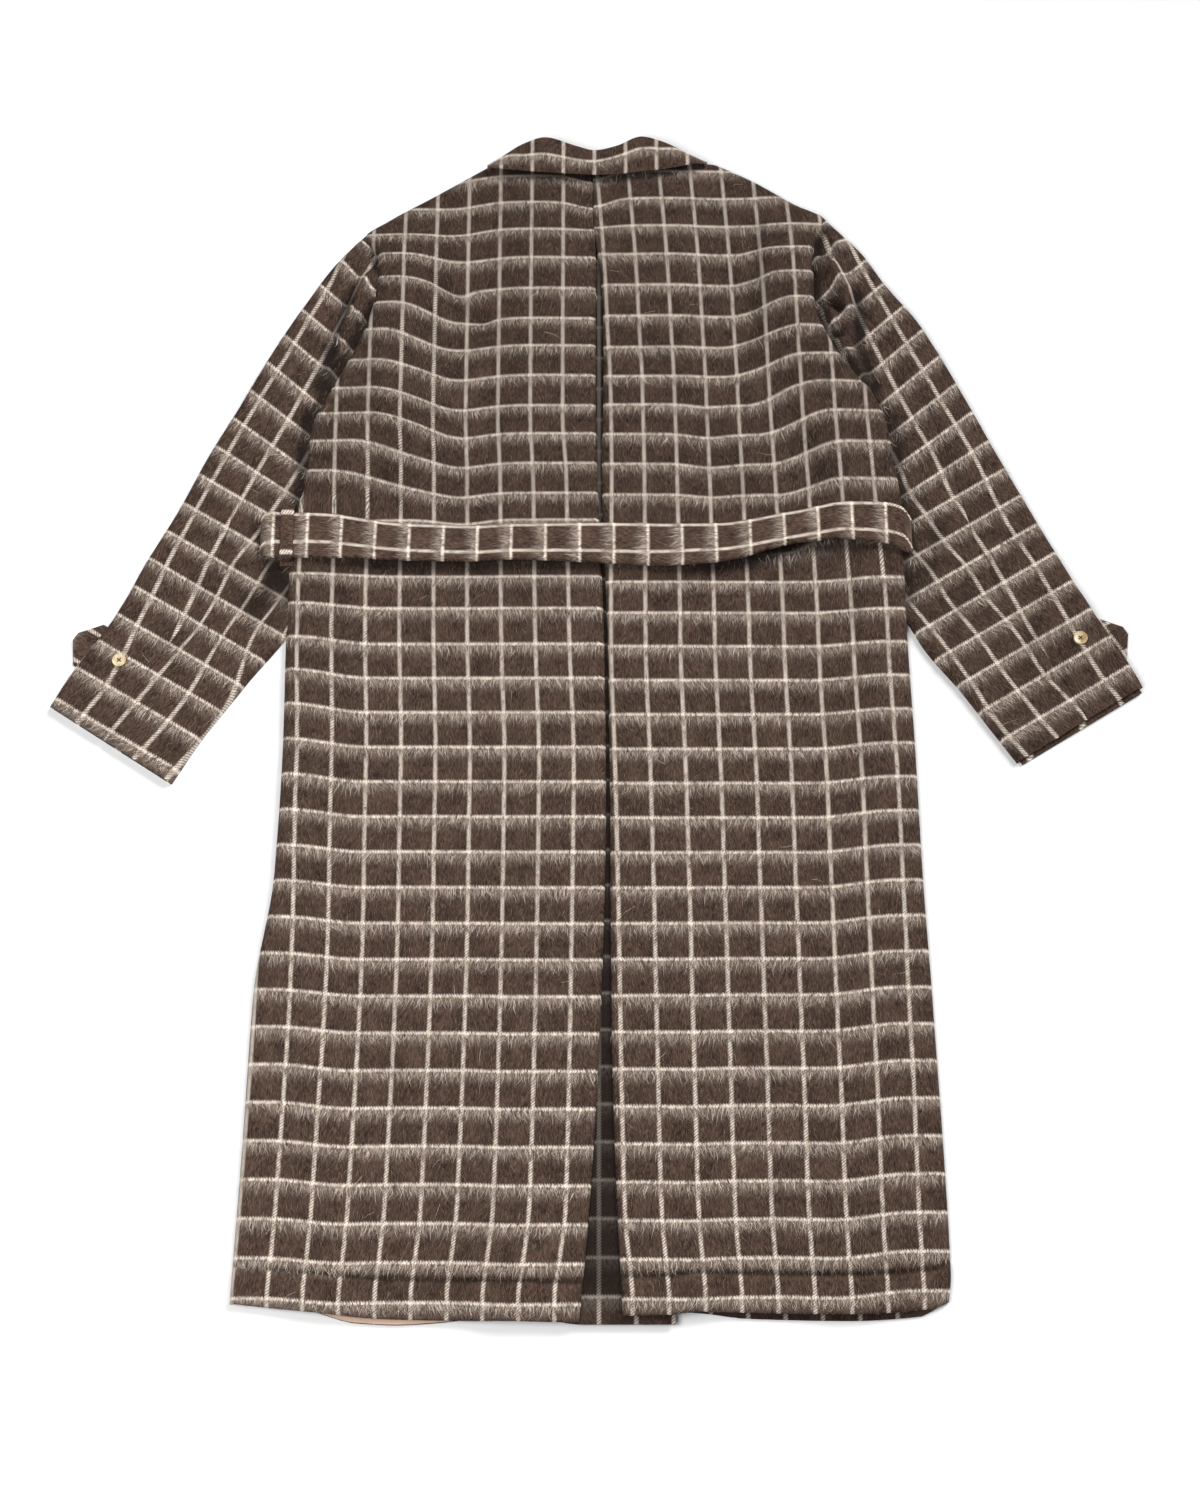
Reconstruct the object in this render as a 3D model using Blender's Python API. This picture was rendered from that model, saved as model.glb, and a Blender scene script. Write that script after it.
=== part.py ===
"""An overcoat laid out on its front, back up, with its sleeves at its sides.

Each piece is the one its maker cuts: a wall of cloth that lies on the pieces beneath it.
Sizes are in millimetres on the coat as it lies: x runs across the back, y from hem to collar,
z up from the surface it rests on, and the origin is the middle of its outline on that surface.
Left and right are the wearer's, so the left side is at -x.
"""

import math

import bmesh
import bpy
import numpy as np
from mathutils import Vector
from mathutils.bvhtree import BVHTree

METRE = 0.001

# Driving dimensions: walls and clearances
CLOTH = 3.0
BELT_WALL = 5.0
LINING_WALL = 1.0
GAP = 0.4
SIDE_CLEARANCE = 0.8
LOFT = 2.4
ROLL = 6.0
PLEAT_ROLL = 5.0
ROLL_ANGLES = (0.0, 28.0, 56.0, 90.0)
ROLL_PER_ROOT_DROP = 2.0
ROLL_SHARE = 0.3
INNER_ROLL_SHARE = 0.2
FOOT = 1.2
SEAM = 0.6
WELD = 1e-6
SHARP_ANGLE = 40.0
HIGH_ABOVE = 500.0

# Driving dimensions: pieces
CENTRE_X = 3.0
LAP_HALF = 45.0
LAP_RAMP = 24.0
FRONT_INSET = 4.2
UNDERLAY_HALF = 70.0
UNDERLAY_TOP = 525.0
UNDERLAY_HEM = -635.0
LAYER_EASE = 45.0
LAYER_MARGIN = 10.0
STRAP_WIDTH = 52.0
STRAP_REACH = 24.0
STRAP_POINT = 16.0
STRAP_TIP = 5.0
STRAP_TUCKED = 58.0
STRAP_EASE = 26.0
STRAP_MARGIN = 20.0
BUTTON_RADIUS = 7.5
BUTTON_WALL = 3.2
HOLE_RADIUS = 0.9
HOLE_SPREAD = 1.7
BUTTON_SIDES = 24
HOLE_SIDES = 8
LOOP_WIDTH = 13.0
LOOP_X = -317.5
LOOP_FOOT = 9.0
LOOP_WALL = 2.5
BACK_COLUMNS = 12
SLEEVE_COLUMNS = 4
FRONT_COLUMNS = 6
LINING_COLUMNS = 8
LOWER_SLEEVE_COLUMNS = 8
COLLAR_END_COLUMNS = 9
COLLAR_FLAT_ROWS = 5
LOOP_ROWS = 17
COLUMN_GAP = 4.0
SECTION_STEP = 46.0
SLEEVE_STEP = 24.0

SIDES = {"left": -1, "right": 1}


def table(columns, *rows):
    """The rows of a table, as one array for each named column."""
    return dict(zip(columns.split(), np.array(rows, float).T))


# The body's outline: side seam from hem to underarm, armhole to the shoulder's end, shoulder to the neck
BODY_EDGE = {
    "left": table(
        "y x",
        (-616, -341), (-471, -336), (-321, -332), (-201, -317), (-71, -314), (44, -315.5), (129, -316),
        (192, -310), (215, -303), (245, -301), (280, -299), (317, -284), (345, -270), (398, -246),
        (440, -236), (480, -234), (508, -249), (529, -224), (559, -177), (594, -122),
    ),
    "right": table(
        "y x",
        (-616, 327), (-591, 330), (-321, 324), (-201, 320), (-71, 318), (59, 315), (122, 315.5),
        (192, 315), (246, 308), (280, 304), (305, 297), (332, 284), (362, 259), (409, 237), (432, 231),
        (471, 231), (505, 234), (529, 246), (549, 214), (579, 168), (597, 133),
    ),
}

# The two folded edges of the centre pleat, which is sewn shut from y = 500 up
PLEAT = table(
    "y left right",
    (-635, -18, 25), (-471, -3, 17), (-371, 2, 14.5), (-250, 7, 13.5), (-131, 9, 13), (29, 7.5, 11),
    (109, 5, 8.5), (229, 0, 5), (330, -1.5, 6.5), (420, -1.5, 6), (480, -1.5, 1), (500, -2.2, -1.8),
    (529, -4.2, -3.8), (597, -5.2, -4.8),
)

# Hems, as they lie
BACK_HEM = {
    "left": table("x y", (-341, -616), (-266, -624), (-200, -630), (-118, -632), (-15, -634)),
    "right": table("x y", (20, -628), (68, -627), (96, -624), (235, -626), (309, -621), (330, -613)),
}
FRONT_HEM = {
    "left": table(
        "x y",
        (-337, -612), (-266, -622), (-225, -633), (-186, -635), (-148, -633), (-90, -627), (45, -625),
    ),
    "right": table(
        "x y",
        (-45, -622), (60, -622), (96, -624), (140, -629), (235, -631), (300, -627), (326, -612),
    ),
}
HEM_BLEND = 190.0
LINING_SPAN = (-264.0, -124.0)
LINING_TOP = -570.0

# The sleeves' sections, from the shoulder's end to the cuff: a point on each edge
SLEEVE = {
    "left": table(
        "outer_x outer_y inner_x inner_y",
        (-256, 503, -243, 496), (-285, 469, -237, 449), (-310, 429, -244, 402), (-344, 369, -272, 338),
        (-374, 309, -300, 279), (-405, 249, -303, 207), (-432, 189, -318, 141), (-463, 129, -318, 69),
        (-490, 69, -354, -3), (-525, 16, -397, -64), (-549.5, -26, -423, -108),
    ),
    "right": table(
        "outer_x outer_y inner_x inner_y",
        (253, 523, 239, 514), (284, 489, 231, 459), (309, 449, 238, 408), (339, 409, 259, 362),
        (361, 369, 287, 329), (390, 309, 305, 262), (418, 249, 315, 192), (447, 189, 316, 115),
        (477, 129, 325, 44), (508, 69, 368, -12), (533, 26, 396, -53), (549.5, -6, 419, -86),
    ),
}
UNDERARM_Y = 192.0
UNDERARM_EASE = 40.0
FREE_RATE = 3.0
SHOULDER_END_Y = {"left": 508.0, "right": 529.0}
ARMHOLE_EASE = 16.0

# The seam behind the arm: its share of the sleeve's width from the outer edge, at each share of its length
HIND_SEAM = table("along across", (0.0, 0.42), (0.4, 0.40), (0.75, 0.42), (1.0, 0.45))

# Soft folds: a ridge from one point to another, its height and its half width
BACK_FOLDS = table(
    "x y to_x to_y height width",
    (-205, 480, -212, 300, 13, 40), (-236, 300, -262, 225, 7, 30), (-60, 470, -58, 330, 3, 34),
    (212, 500, 205, 410, 12, 34), (238, 370, 262, 225, 9, 34), (75, 480, 80, 300, 3, 36),
    (-262, 215, -120, 205, 4, 18), (120, 212, 270, 222, 4, 18), (-292, 90, -306, -300, 6, 20),
    (-236, 100, -240, -180, 4, 22), (285, 100, 290, -260, 5, 22), (160, 80, 165, -120, 3, 30),
    (-120, 60, -125, -200, 3, 30), (-250, -420, -255, -600, 5, 36), (240, -430, 238, -600, 5, 40),
    (-95, -380, -95, -600, 3, 34), (100, -400, 100, -600, 3, 34),
)
SLEEVE_FOLDS = {
    "left": table(
        "x y to_x to_y height width",
        (-255, 462, -277, 372, 8, 13), (-330, 330, -392, 190, 5, 24), (-342, 205, -395, 60, 4, 22),
        (-455, 90, -490, 10, 5, 26),
    ),
    "right": table(
        "x y to_x to_y height width",
        (248, 480, 268, 372, 9, 13), (340, 350, 405, 190, 5, 24), (352, 200, 402, 60, 4, 22),
        (462, 110, 500, 20, 5, 26),
    ),
}

# The collar's fall: its lower edge and its roll, at stations across the neck
COLLAR = table(
    "x lower roll",
    (-119, 590, 598), (-104, 588, 609), (-78, 586, 628), (-57, 585, 635), (-22, 583, 622), (-3, 582, 617),
    (20, 583, 623), (48, 586, 635), (70, 588, 629), (100, 592, 613), (119, 595, 601),
)
COLLAR_CREST = 4.0
COLLAR_CREST_FROM = 0.67
COLLAR_FULL_WIDTH = 40.0
COLLAR_ROLL_SHARE = 0.6
COLLAR_REACH = 5.0
COLLAR_PROBES = (0.0, 6.0, 12.0)
COLLAR_STATION = 12.0
COLLAR_FOOT = CLOTH + GAP + FOOT
COLLAR_END_GAP = 4.0
STAND_HALF = 96.0

# The fronts' neck edge, from the end of the lap to the shoulder: distance from the centre at each height
NECK = table("y x", (540, -45), (542, 30), (548, 62), (562, 94), (586, 108))

# The belt: its middle line and width, at stations from its left end to its right one
BELT = table(
    "x middle width",
    (-345, 158, 50), (-297, 158, 50), (-197, 149, 44), (-97, 147, 42), (3, 146, 46), (83, 144, 48),
    (133, 149, 46), (203, 165, 40), (253, 172, 43), (303, 172, 44), (322, 168, 44),
)
# The belt's section: shares of its half width, and of its wall there
BELT_SECTION = table(
    "across full", (-1, 0.55), (-0.9, 0.85), (-0.45, 1), (0, 1), (0.45, 1), (0.9, 0.85), (1, 0.55)
)
BELT_REACH = 9.0
LOOP_REACH = 5.0
BELT_STATION = 16.0
BELT_SLACK = 2.0
BELT_END_THIN = 0.7

# Where each cuff strap crosses the sleeve's outer edge, its direction, and where the button sits
CUFF = {
    "left": {"strap": (-509, 37), "outward": (-0.84, 0.54), "button": (-480, 18), "slip": 0.0},
    "right": {"strap": (516, 44), "outward": (0.85, 0.52), "button": (487, 42), "slip": 4.0},
}

# A button's half section from its back to its dished face, as shares of its radius and its wall
BUTTON_PROFILE = table(
    "out up",
    (0, 0), (0.8, 0), (1, 0.3), (1, 0.75), (0.88, 1), (0.7, 0.92), (0.58, 0.68), (0, 0.62),
)

# Colours as the eye adds them up from a step away
COATING = (0.072, 0.052, 0.042, 1.0)
COATING_IN_SHADE = (0.040, 0.029, 0.024, 1.0)
TAN_LINING = (0.42, 0.26, 0.17, 1.0)
PALE_HORN = (0.78, 0.68, 0.48, 1.0)


def smooth(at, knots, values):
    """Values on a smooth curve through the knots that never overshoots them."""
    steps = np.diff(knots)
    rates = np.diff(values) / steps
    slopes = np.concatenate([rates[:1], np.zeros(len(rates) - 1), rates[-1:]])
    both = rates[:-1] * rates[1:]
    total = rates[:-1] + rates[1:]
    slopes[1:-1] = np.where(both > 0, 2 * both / np.where(total == 0, 1, total), 0)
    i = np.clip(np.searchsorted(knots, at, side="right") - 1, 0, len(steps) - 1)
    t = np.clip((at - knots[i]) / steps[i], 0, 1)
    start = (1 + 2 * t) * (1 - t) ** 2 * values[i] + t * (1 - t) ** 2 * steps[i] * slopes[i]
    end = t * t * (3 - 2 * t) * values[i + 1] + t * t * (t - 1) * steps[i] * slopes[i + 1]
    return start + end


def ease(share):
    """A soft step from 0 to 1."""
    t = np.clip(share, 0, 1)
    return t * t * (3 - 2 * t)


def spread(knots, step):
    """The knots, with each stretch between them cut into parts no longer than the step."""
    parts = [np.linspace(a, b, math.ceil((b - a) / step), endpoint=False) for a, b in zip(knots, knots[1:])]
    return np.concatenate(parts + [knots[-1:]])


def folds_at(x, y, folds):
    """How far the soft folds lift the cloth."""
    rise = np.zeros(np.broadcast(x, y).shape)
    for fold in zip(*folds.values()):
        from_x, from_y, to_x, to_y, height, width = fold
        run_x, run_y = to_x - from_x, to_y - from_y
        along = np.clip(((x - from_x) * run_x + (y - from_y) * run_y) / (run_x**2 + run_y**2), 0, 1)
        away = np.hypot(x - from_x - along * run_x, y - from_y - along * run_y)
        rise = np.maximum(rise, height * np.exp(-((away / width) ** 2)))
    return rise


def edge_rows(side):
    """The heights of the body's sections on one side, and its edge at each."""
    edge = BODY_EDGE[side]
    y = spread(edge["y"], SECTION_STEP)
    return y, smooth(y, edge["y"], edge["x"])


def in_armhole(y, side, spare=0.0):
    """1 along the armhole, where the back's edge lies over the sleeve, easing to 0 at its ends."""
    above = (y - UNDERARM_Y + spare) / ARMHOLE_EASE
    below = (SHOULDER_END_Y[side] - y + spare) / ARMHOLE_EASE
    return ease(above) * ease(below)


def back_underside(x, y):
    """The height of what the back lies on: one front, two where they lap, and the pleat's underlay."""
    middle = ease((UNDERLAY_HALF + LAYER_MARGIN + LAYER_EASE - np.abs(x - CENTRE_X)) / LAYER_EASE)
    underlaid = ease((UNDERLAY_TOP + LAYER_MARGIN + LAYER_EASE - y) / LAYER_EASE)
    return (CLOTH + GAP) * (1 + middle * (1 + underlaid))


def back_top(x, y):
    return back_underside(x, y) + CLOTH + LOFT + folds_at(x, y, BACK_FOLDS)


def sleeve_rows(side):
    """Points on the outer and inner edges of a sleeve's sections, and how far along it each one is."""
    rows = SLEEVE[side]
    knots = np.arange(len(rows["outer_x"]), dtype=float)
    reach = np.hypot(np.diff(rows["outer_x"]), np.diff(rows["outer_y"]))
    counts = np.ceil(reach / SLEEVE_STEP).astype(int)
    parts = [np.linspace(k, k + 1, count, endpoint=False) for k, count in zip(knots, counts)]
    at = np.concatenate(parts + [knots[-1:]])
    outer_x, outer_y, inner_x, inner_y = (smooth(at, knots, column) for column in rows.values())
    body_y, body_x = edge_rows(side)
    for step in (-SLEEVE_STEP / 4, 0, SLEEVE_STEP / 4):
        beside = SIDES[side] * np.interp(inner_y + step, body_y, body_x) + SIDE_CLEARANCE
        inner_x = SIDES[side] * np.maximum(SIDES[side] * inner_x, beside)
    return np.stack([outer_x, outer_y], -1), np.stack([inner_x, inner_y], -1), at / knots[-1]


def strap_frame(side):
    """The middle of a cuff strap on the sleeve's edge, and its directions outward and along the sleeve."""
    outward = np.array(CUFF[side]["outward"]) / np.hypot(*CUFF[side]["outward"])
    return np.array(CUFF[side]["strap"], float), outward, np.array([outward[1], -outward[0]])


def over_strap(x, y, side):
    """1 where the sleeve lies on its cuff strap, easing to 0 around it."""
    middle, outward, along = strap_frame(side)
    out = (x - middle[0]) * outward[0] + (y - middle[1]) * outward[1]
    down = (x - middle[0]) * along[0] + (y - middle[1]) * along[1]
    inner_part = ease((out + STRAP_TUCKED + STRAP_MARGIN + STRAP_EASE) / STRAP_EASE)
    return inner_part * ease((STRAP_WIDTH / 2 + STRAP_MARGIN + STRAP_EASE - np.abs(down)) / STRAP_EASE)


def sleeve_top(x, y, side):
    lift = (CLOTH + GAP) * over_strap(x, y, side)
    return 2 * CLOTH + GAP + LOFT + lift + folds_at(x, y, SLEEVE_FOLDS[side])


def rolled_edge(roll):
    """Points from a rolled edge inwards: their distance from it, and how far each has rolled over."""
    angles = np.radians(ROLL_ANGLES)
    return roll * (1 - np.cos(angles)), 1 - np.sin(angles)


def across_section(near_roll, stops, far_roll):
    """Distances across a section from one rolled edge to the other, and how far each point has rolled over.

    Each stop is a flat stretch: where it starts, where it ends, and how many points it has.
    """
    near, near_drop = rolled_edge(near_roll)
    far, far_drop = rolled_edge(far_roll)
    flat = np.concatenate([np.linspace(*stop) for stop in stops])
    plain = np.zeros(len(flat))
    width = stops[-1][1] + far_roll
    across = np.concatenate([near[:-1], flat, width - far[-2::-1]])
    near_drop = np.concatenate([near_drop[:-1], plain, 0 * far[:-1]])
    far_drop = np.concatenate([0 * near[:-1], plain, far_drop[-2::-1]])
    return across, near_drop, far_drop


def roll_for(drop):
    """The radius that lets a wall of cloth roll down this far without creasing."""
    return max(ROLL, ROLL_PER_ROOT_DROP * math.sqrt(drop))


def outward_normals(grid):
    along = np.gradient(grid, axis=0)
    across = np.gradient(grid, axis=1)
    normals = np.cross(along, across)
    normals /= np.linalg.norm(normals, axis=2, keepdims=True)
    return normals * np.sign(normals[..., 2].sum())


def solid(name, top, bottom, material):
    """A closed wall between two grids of points that face each other."""
    rows, columns = top.shape[:2]
    mesh = bmesh.new()
    upper = [[mesh.verts.new(Vector(p) * METRE) for p in row] for row in top]
    lower = [[mesh.verts.new(Vector(p) * METRE) for p in row] for row in bottom]
    for i in range(rows - 1):
        for j in range(columns - 1):
            mesh.faces.new((upper[i][j], upper[i][j + 1], upper[i + 1][j + 1], upper[i + 1][j]))
            mesh.faces.new((lower[i][j], lower[i + 1][j], lower[i + 1][j + 1], lower[i][j + 1]))
    rim = [(0, j) for j in range(columns - 1)]
    rim += [(i, columns - 1) for i in range(rows - 1)]
    rim += [(rows - 1, j) for j in range(columns - 1, 0, -1)]
    rim += [(i, 0) for i in range(rows - 1, 0, -1)]
    for (i, j), (k, m) in zip(rim, rim[1:] + rim[:1]):
        mesh.faces.new((upper[k][m], upper[i][j], lower[i][j], lower[k][m]))
    bmesh.ops.recalc_face_normals(mesh, faces=mesh.faces)
    return finish(name, mesh, material)


def finish(name, mesh, material):
    data = bpy.data.meshes.new(name)
    mesh.to_mesh(data)
    mesh.free()
    data.shade_smooth()
    data.set_sharp_from_angle(angle=math.radians(SHARP_ANGLE))
    data.materials.append(material)
    piece = bpy.data.objects.new(name, data)
    bpy.context.scene.collection.objects.link(piece)
    piece.parent = coat
    return piece


def wall(name, top, material, thickness=CLOTH):
    """A wall of even thickness under a grid of points on its upper face."""
    return solid(name, top, top - thickness * outward_normals(top), material)


def flat_wall(name, top, material, thickness=CLOTH):
    """A wall whose underside is straight below its upper face."""
    return solid(name, top, top - np.array([0, 0, thickness]), material)


def finish_material(name, colour, roughness):
    material = bpy.data.materials.new(name)
    material.use_nodes = True
    shader = material.node_tree.nodes["Principled BSDF"]
    shader.inputs["Base Color"].default_value = colour
    shader.inputs["Roughness"].default_value = roughness
    shader.inputs["Metallic"].default_value = 0.0
    return material


def height_on(pieces, x, y, reach):
    """The highest point of finished pieces at and around a place."""
    highest = 0.0
    for dx in (-reach, 0, reach):
        for dy in (-reach, 0, reach):
            above = Vector((x + dx, y + dy, HIGH_ABOVE)) * METRE
            for piece in pieces:
                place = surfaces[piece].ray_cast(above, Vector((0, 0, -1)))[0]
                if place is not None:
                    highest = max(highest, place.z / METRE)
    return highest


def remember_surface(piece):
    mesh = bmesh.new()
    mesh.from_mesh(piece.data)
    surfaces[piece.name] = BVHTree.FromBMesh(mesh)
    mesh.free()


def make_back(side):
    """One back panel: rolled down over the front's edge, and into the pleat at the centre."""
    sign = SIDES[side]
    ys, edge = edge_rows(side)
    slant = np.sqrt(1 + np.gradient(edge, ys) ** 2)
    pleat = smooth(ys, PLEAT["y"], PLEAT[side])
    rows = []
    for y, outer, inner, slope in zip(ys, edge, pleat, slant):
        foot = FOOT + (CLOTH + GAP) * float(in_armhole(y, side, ARMHOLE_EASE))
        drop = float(back_top(outer, y)) - foot
        roll = min(roll_for(drop) * slope, ROLL_SHARE * abs(outer - inner))
        flat = (PLEAT_ROLL, abs(outer - inner) - roll, BACK_COLUMNS)
        across, near, far = across_section(PLEAT_ROLL, [flat], roll)
        x = inner + sign * across
        hem = smooth(x, BACK_HEM[side]["x"], BACK_HEM[side]["y"]) - BODY_EDGE[side]["y"][0]
        place_y = y + hem * ease((BODY_EDGE[side]["y"][0] + HEM_BLEND - y) / HEM_BLEND)
        top = back_top(x, np.full(x.shape, y))
        into_pleat = back_underside(x, y) + FOOT - GAP
        z = top - near * (top - into_pleat) - far * (top - foot)
        rows.append(np.stack([x, place_y, z], -1))
    remember_surface(wall("back_" + side, np.array(rows), coating))


def make_underlay():
    """The plain underlay of the pleat, which lies flat on the lapped fronts."""
    x = np.array([CENTRE_X - UNDERLAY_HALF, CENTRE_X + UNDERLAY_HALF])
    y = np.array([UNDERLAY_HEM, UNDERLAY_TOP])
    z = 3 * CLOTH + 2 * GAP
    flat_wall("pleat_underlay", np.array([[(a, b, z) for a in x] for b in y]), coating_in_shade)


def front_lift(x, side):
    """How far a front rises where it laps the other one."""
    if side == "left":
        return np.zeros(x.shape)
    return (CLOTH + GAP) * np.clip(1 - (x - LAP_HALF - GAP - CLOTH) / LAP_RAMP, 0, 1)


def make_front(side):
    """One front on the surface, cut inside the back's rolled edge; the right one laps the left."""
    sign = SIDES[side]
    ys, edge = edge_rows(side)
    slant = np.sqrt(1 + np.gradient(edge, ys) ** 2)
    inset = (FRONT_INSET * slant + 2 * CLOTH * (slant - 1)) * (1 - in_armhole(ys, side)) + GAP
    rows_y = np.concatenate([ys[ys < NECK["y"][0]], NECK["y"]])
    outer_edge = np.interp(rows_y, ys, edge - sign * inset)
    neck_edge = sign * np.interp(rows_y, NECK["y"], NECK["x"])
    foot = BODY_EDGE[side]["y"][0]
    ramp = LAP_HALF + GAP + CLOTH + LAP_RAMP * np.array([0, 1])
    rows = []
    for y, outer, inner in zip(rows_y, outer_edge, neck_edge):
        flat_from = max(sign * inner + 3 * COLUMN_GAP, ramp[1] + COLUMN_GAP)
        stops = np.maximum(ramp, sign * inner + COLUMN_GAP * np.array([1, 2]))
        flat = np.linspace(flat_from, abs(outer), FRONT_COLUMNS)
        x = sign * np.concatenate([[sign * inner], stops, flat])
        hem = smooth(x, FRONT_HEM[side]["x"], FRONT_HEM[side]["y"]) - foot
        place_y = y + hem * ease((foot + HEM_BLEND - y) / HEM_BLEND)
        rows.append(np.stack([x, place_y, CLOTH + front_lift(x, side)], -1))
    flat_wall("front_" + side, np.array(rows), coating)


def make_lining():
    """The strip of lining that shows inside the left front's hem."""
    x = np.linspace(*LINING_SPAN, LINING_COLUMNS)
    hem = smooth(x, FRONT_HEM["left"]["x"], FRONT_HEM["left"]["y"]) + GAP
    z = np.full(x.shape, CLOTH + GAP + LINING_WALL)
    rows = [np.stack([x, np.full(x.shape, LINING_TOP), z], -1), np.stack([x, hem, z], -1)]
    flat_wall("lining_left", np.array(rows), lining_cloth, LINING_WALL)


def make_sleeve(side):
    """A flattened two-piece sleeve: two walls above that roll down at its edges, and one beneath."""
    outer, inner, along = sleeve_rows(side)
    seam = smooth(along, HIND_SEAM["along"], HIND_SEAM["across"])
    upper, lower = [], []
    for from_edge, to_edge, share in zip(outer, inner, seam):
        width = np.hypot(*(to_edge - from_edge))
        across_way = (to_edge - from_edge) / width
        free = float(ease((UNDERARM_Y - to_edge[1]) / UNDERARM_EASE))
        roll = min(roll_for(float(sleeve_top(*from_edge, side))), ROLL_SHARE * width)
        foot = FOOT + (CLOTH + GAP) * over_strap(*from_edge, side)
        far_roll = min(ROLL, INNER_ROLL_SHARE * width)
        to_seam = (roll, share * width - SEAM / 2, SLEEVE_COLUMNS)
        beyond = (share * width + SEAM / 2, width - far_roll, SLEEVE_COLUMNS + 1)
        across, near, far = across_section(roll, [to_seam, beyond], far_roll)
        x, y = from_edge[:, None] + across_way[:, None] * across
        top = sleeve_top(x, y, side)
        z = top - near * (top - foot) - free * far * (top - FOOT)
        upper.append(np.stack([x, y, z], -1))
        inner_inset = FRONT_INSET * min(1, FREE_RATE * free)
        across = np.linspace(FRONT_INSET, width - inner_inset, LOWER_SLEEVE_COLUMNS)
        x, y = from_edge[:, None] + across_way[:, None] * across
        lower.append(np.stack([x, y, CLOTH + (CLOTH + GAP) * over_strap(x, y, side)], -1))
    lower[-1][:, :2] -= CUFF[side]["slip"] * SIDES[side] * np.array([across_way[1], -across_way[0]])
    flat_wall("lower_sleeve_" + side, np.array(lower), coating)
    top = np.array(upper)
    bottom = top - CLOTH * outward_normals(top)
    middle = len(rolled_edge(ROLL)[0]) - 1 + SLEEVE_COLUMNS
    for piece, part in (("top_sleeve_", slice(None, middle)), ("under_sleeve_", slice(middle, None))):
        remember_surface(solid(piece + side, top[:, part], bottom[:, part], coating))


def make_cuff_strap(side):
    """The pointed strap that lies under the sleeve and shows past its edge."""
    middle, outward, along = strap_frame(side)
    half = STRAP_WIDTH / 2
    shoulder = STRAP_REACH - STRAP_POINT
    outline = [(-STRAP_TUCKED, half), (-STRAP_TUCKED, -half), (shoulder, -half)]
    outline += [(STRAP_REACH, -STRAP_TIP), (STRAP_REACH, STRAP_TIP), (shoulder, half)]
    mesh = bmesh.new()
    places = [middle + a * outward + b * along for a, b in outline]
    face = mesh.faces.new([mesh.verts.new(Vector((x, y, 0)) * METRE) for x, y in places])
    raised = bmesh.ops.extrude_face_region(mesh, geom=[face])["geom"]
    corners = [v for v in raised if isinstance(v, bmesh.types.BMVert)]
    bmesh.ops.translate(mesh, verts=corners, vec=(0, 0, CLOTH * METRE))
    bmesh.ops.recalc_face_normals(mesh, faces=mesh.faces)
    finish("cuff_strap_" + side, mesh, coating)


def make_button(side):
    """A dished button with a round rim and four holes, on the back of the cuff."""
    x, y = CUFF[side]["button"]
    z = height_on(["top_sleeve_" + side, "under_sleeve_" + side], x, y, BUTTON_RADIUS) + GAP
    radius = BUTTON_RADIUS * BUTTON_PROFILE["out"]
    height = BUTTON_WALL * BUTTON_PROFILE["up"]
    mesh = bmesh.new()
    profile = [mesh.verts.new(Vector((r, 0, h)) * METRE) for r, h in zip(radius, height)]
    edges = [mesh.edges.new(pair) for pair in zip(profile, profile[1:])]
    geometry = profile + edges
    turn = {"cent": (0, 0, 0), "axis": (0, 0, 1), "angle": 2 * math.pi, "steps": BUTTON_SIDES}
    bmesh.ops.spin(mesh, geom=geometry, use_merge=True, **turn)
    bmesh.ops.remove_doubles(mesh, verts=mesh.verts, dist=WELD)
    bmesh.ops.recalc_face_normals(mesh, faces=mesh.faces)
    button = finish("cuff_button_" + side, mesh, horn)
    button.location = Vector((x, y, z)) * METRE
    holes = bmesh.new()
    for quarter in range(4):
        angle = math.pi / 4 + quarter * math.pi / 2
        place = Vector((HOLE_SPREAD * math.cos(angle), HOLE_SPREAD * math.sin(angle), BUTTON_WALL / 2))
        drilled = bmesh.ops.create_cone(
            holes, cap_ends=True, segments=HOLE_SIDES, radius1=HOLE_RADIUS * METRE,
            radius2=HOLE_RADIUS * METRE, depth=3 * BUTTON_WALL * METRE,
        )
        bmesh.ops.translate(holes, verts=drilled["verts"], vec=place * METRE)
    cutter = finish("holes_" + side, holes, horn)
    cutter.location = button.location
    cutter.hide_render = True
    cutter.display_type = "WIRE"
    cut = button.modifiers.new("thread holes", "BOOLEAN")
    cut.object = cutter


def end_stations(knots, step, roll):
    """Stations along a piece with rolled ends, and how far each has rolled over."""
    angles = np.radians(ROLL_ANGLES)
    near = knots[0] + roll * (1 - np.cos(angles))
    far = knots[-1] - roll * (1 - np.cos(angles[::-1]))
    inside = knots[(knots > near[-1] + step / 4) & (knots < far[0] - step / 4)]
    middle = spread(np.concatenate([near[-1:], inside, far[:1]]), step)[1:-1]
    drop = np.concatenate([1 - np.sin(angles), 0 * middle, 1 - np.sin(angles[::-1])])
    return np.concatenate([near, middle, far]), drop


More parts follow.
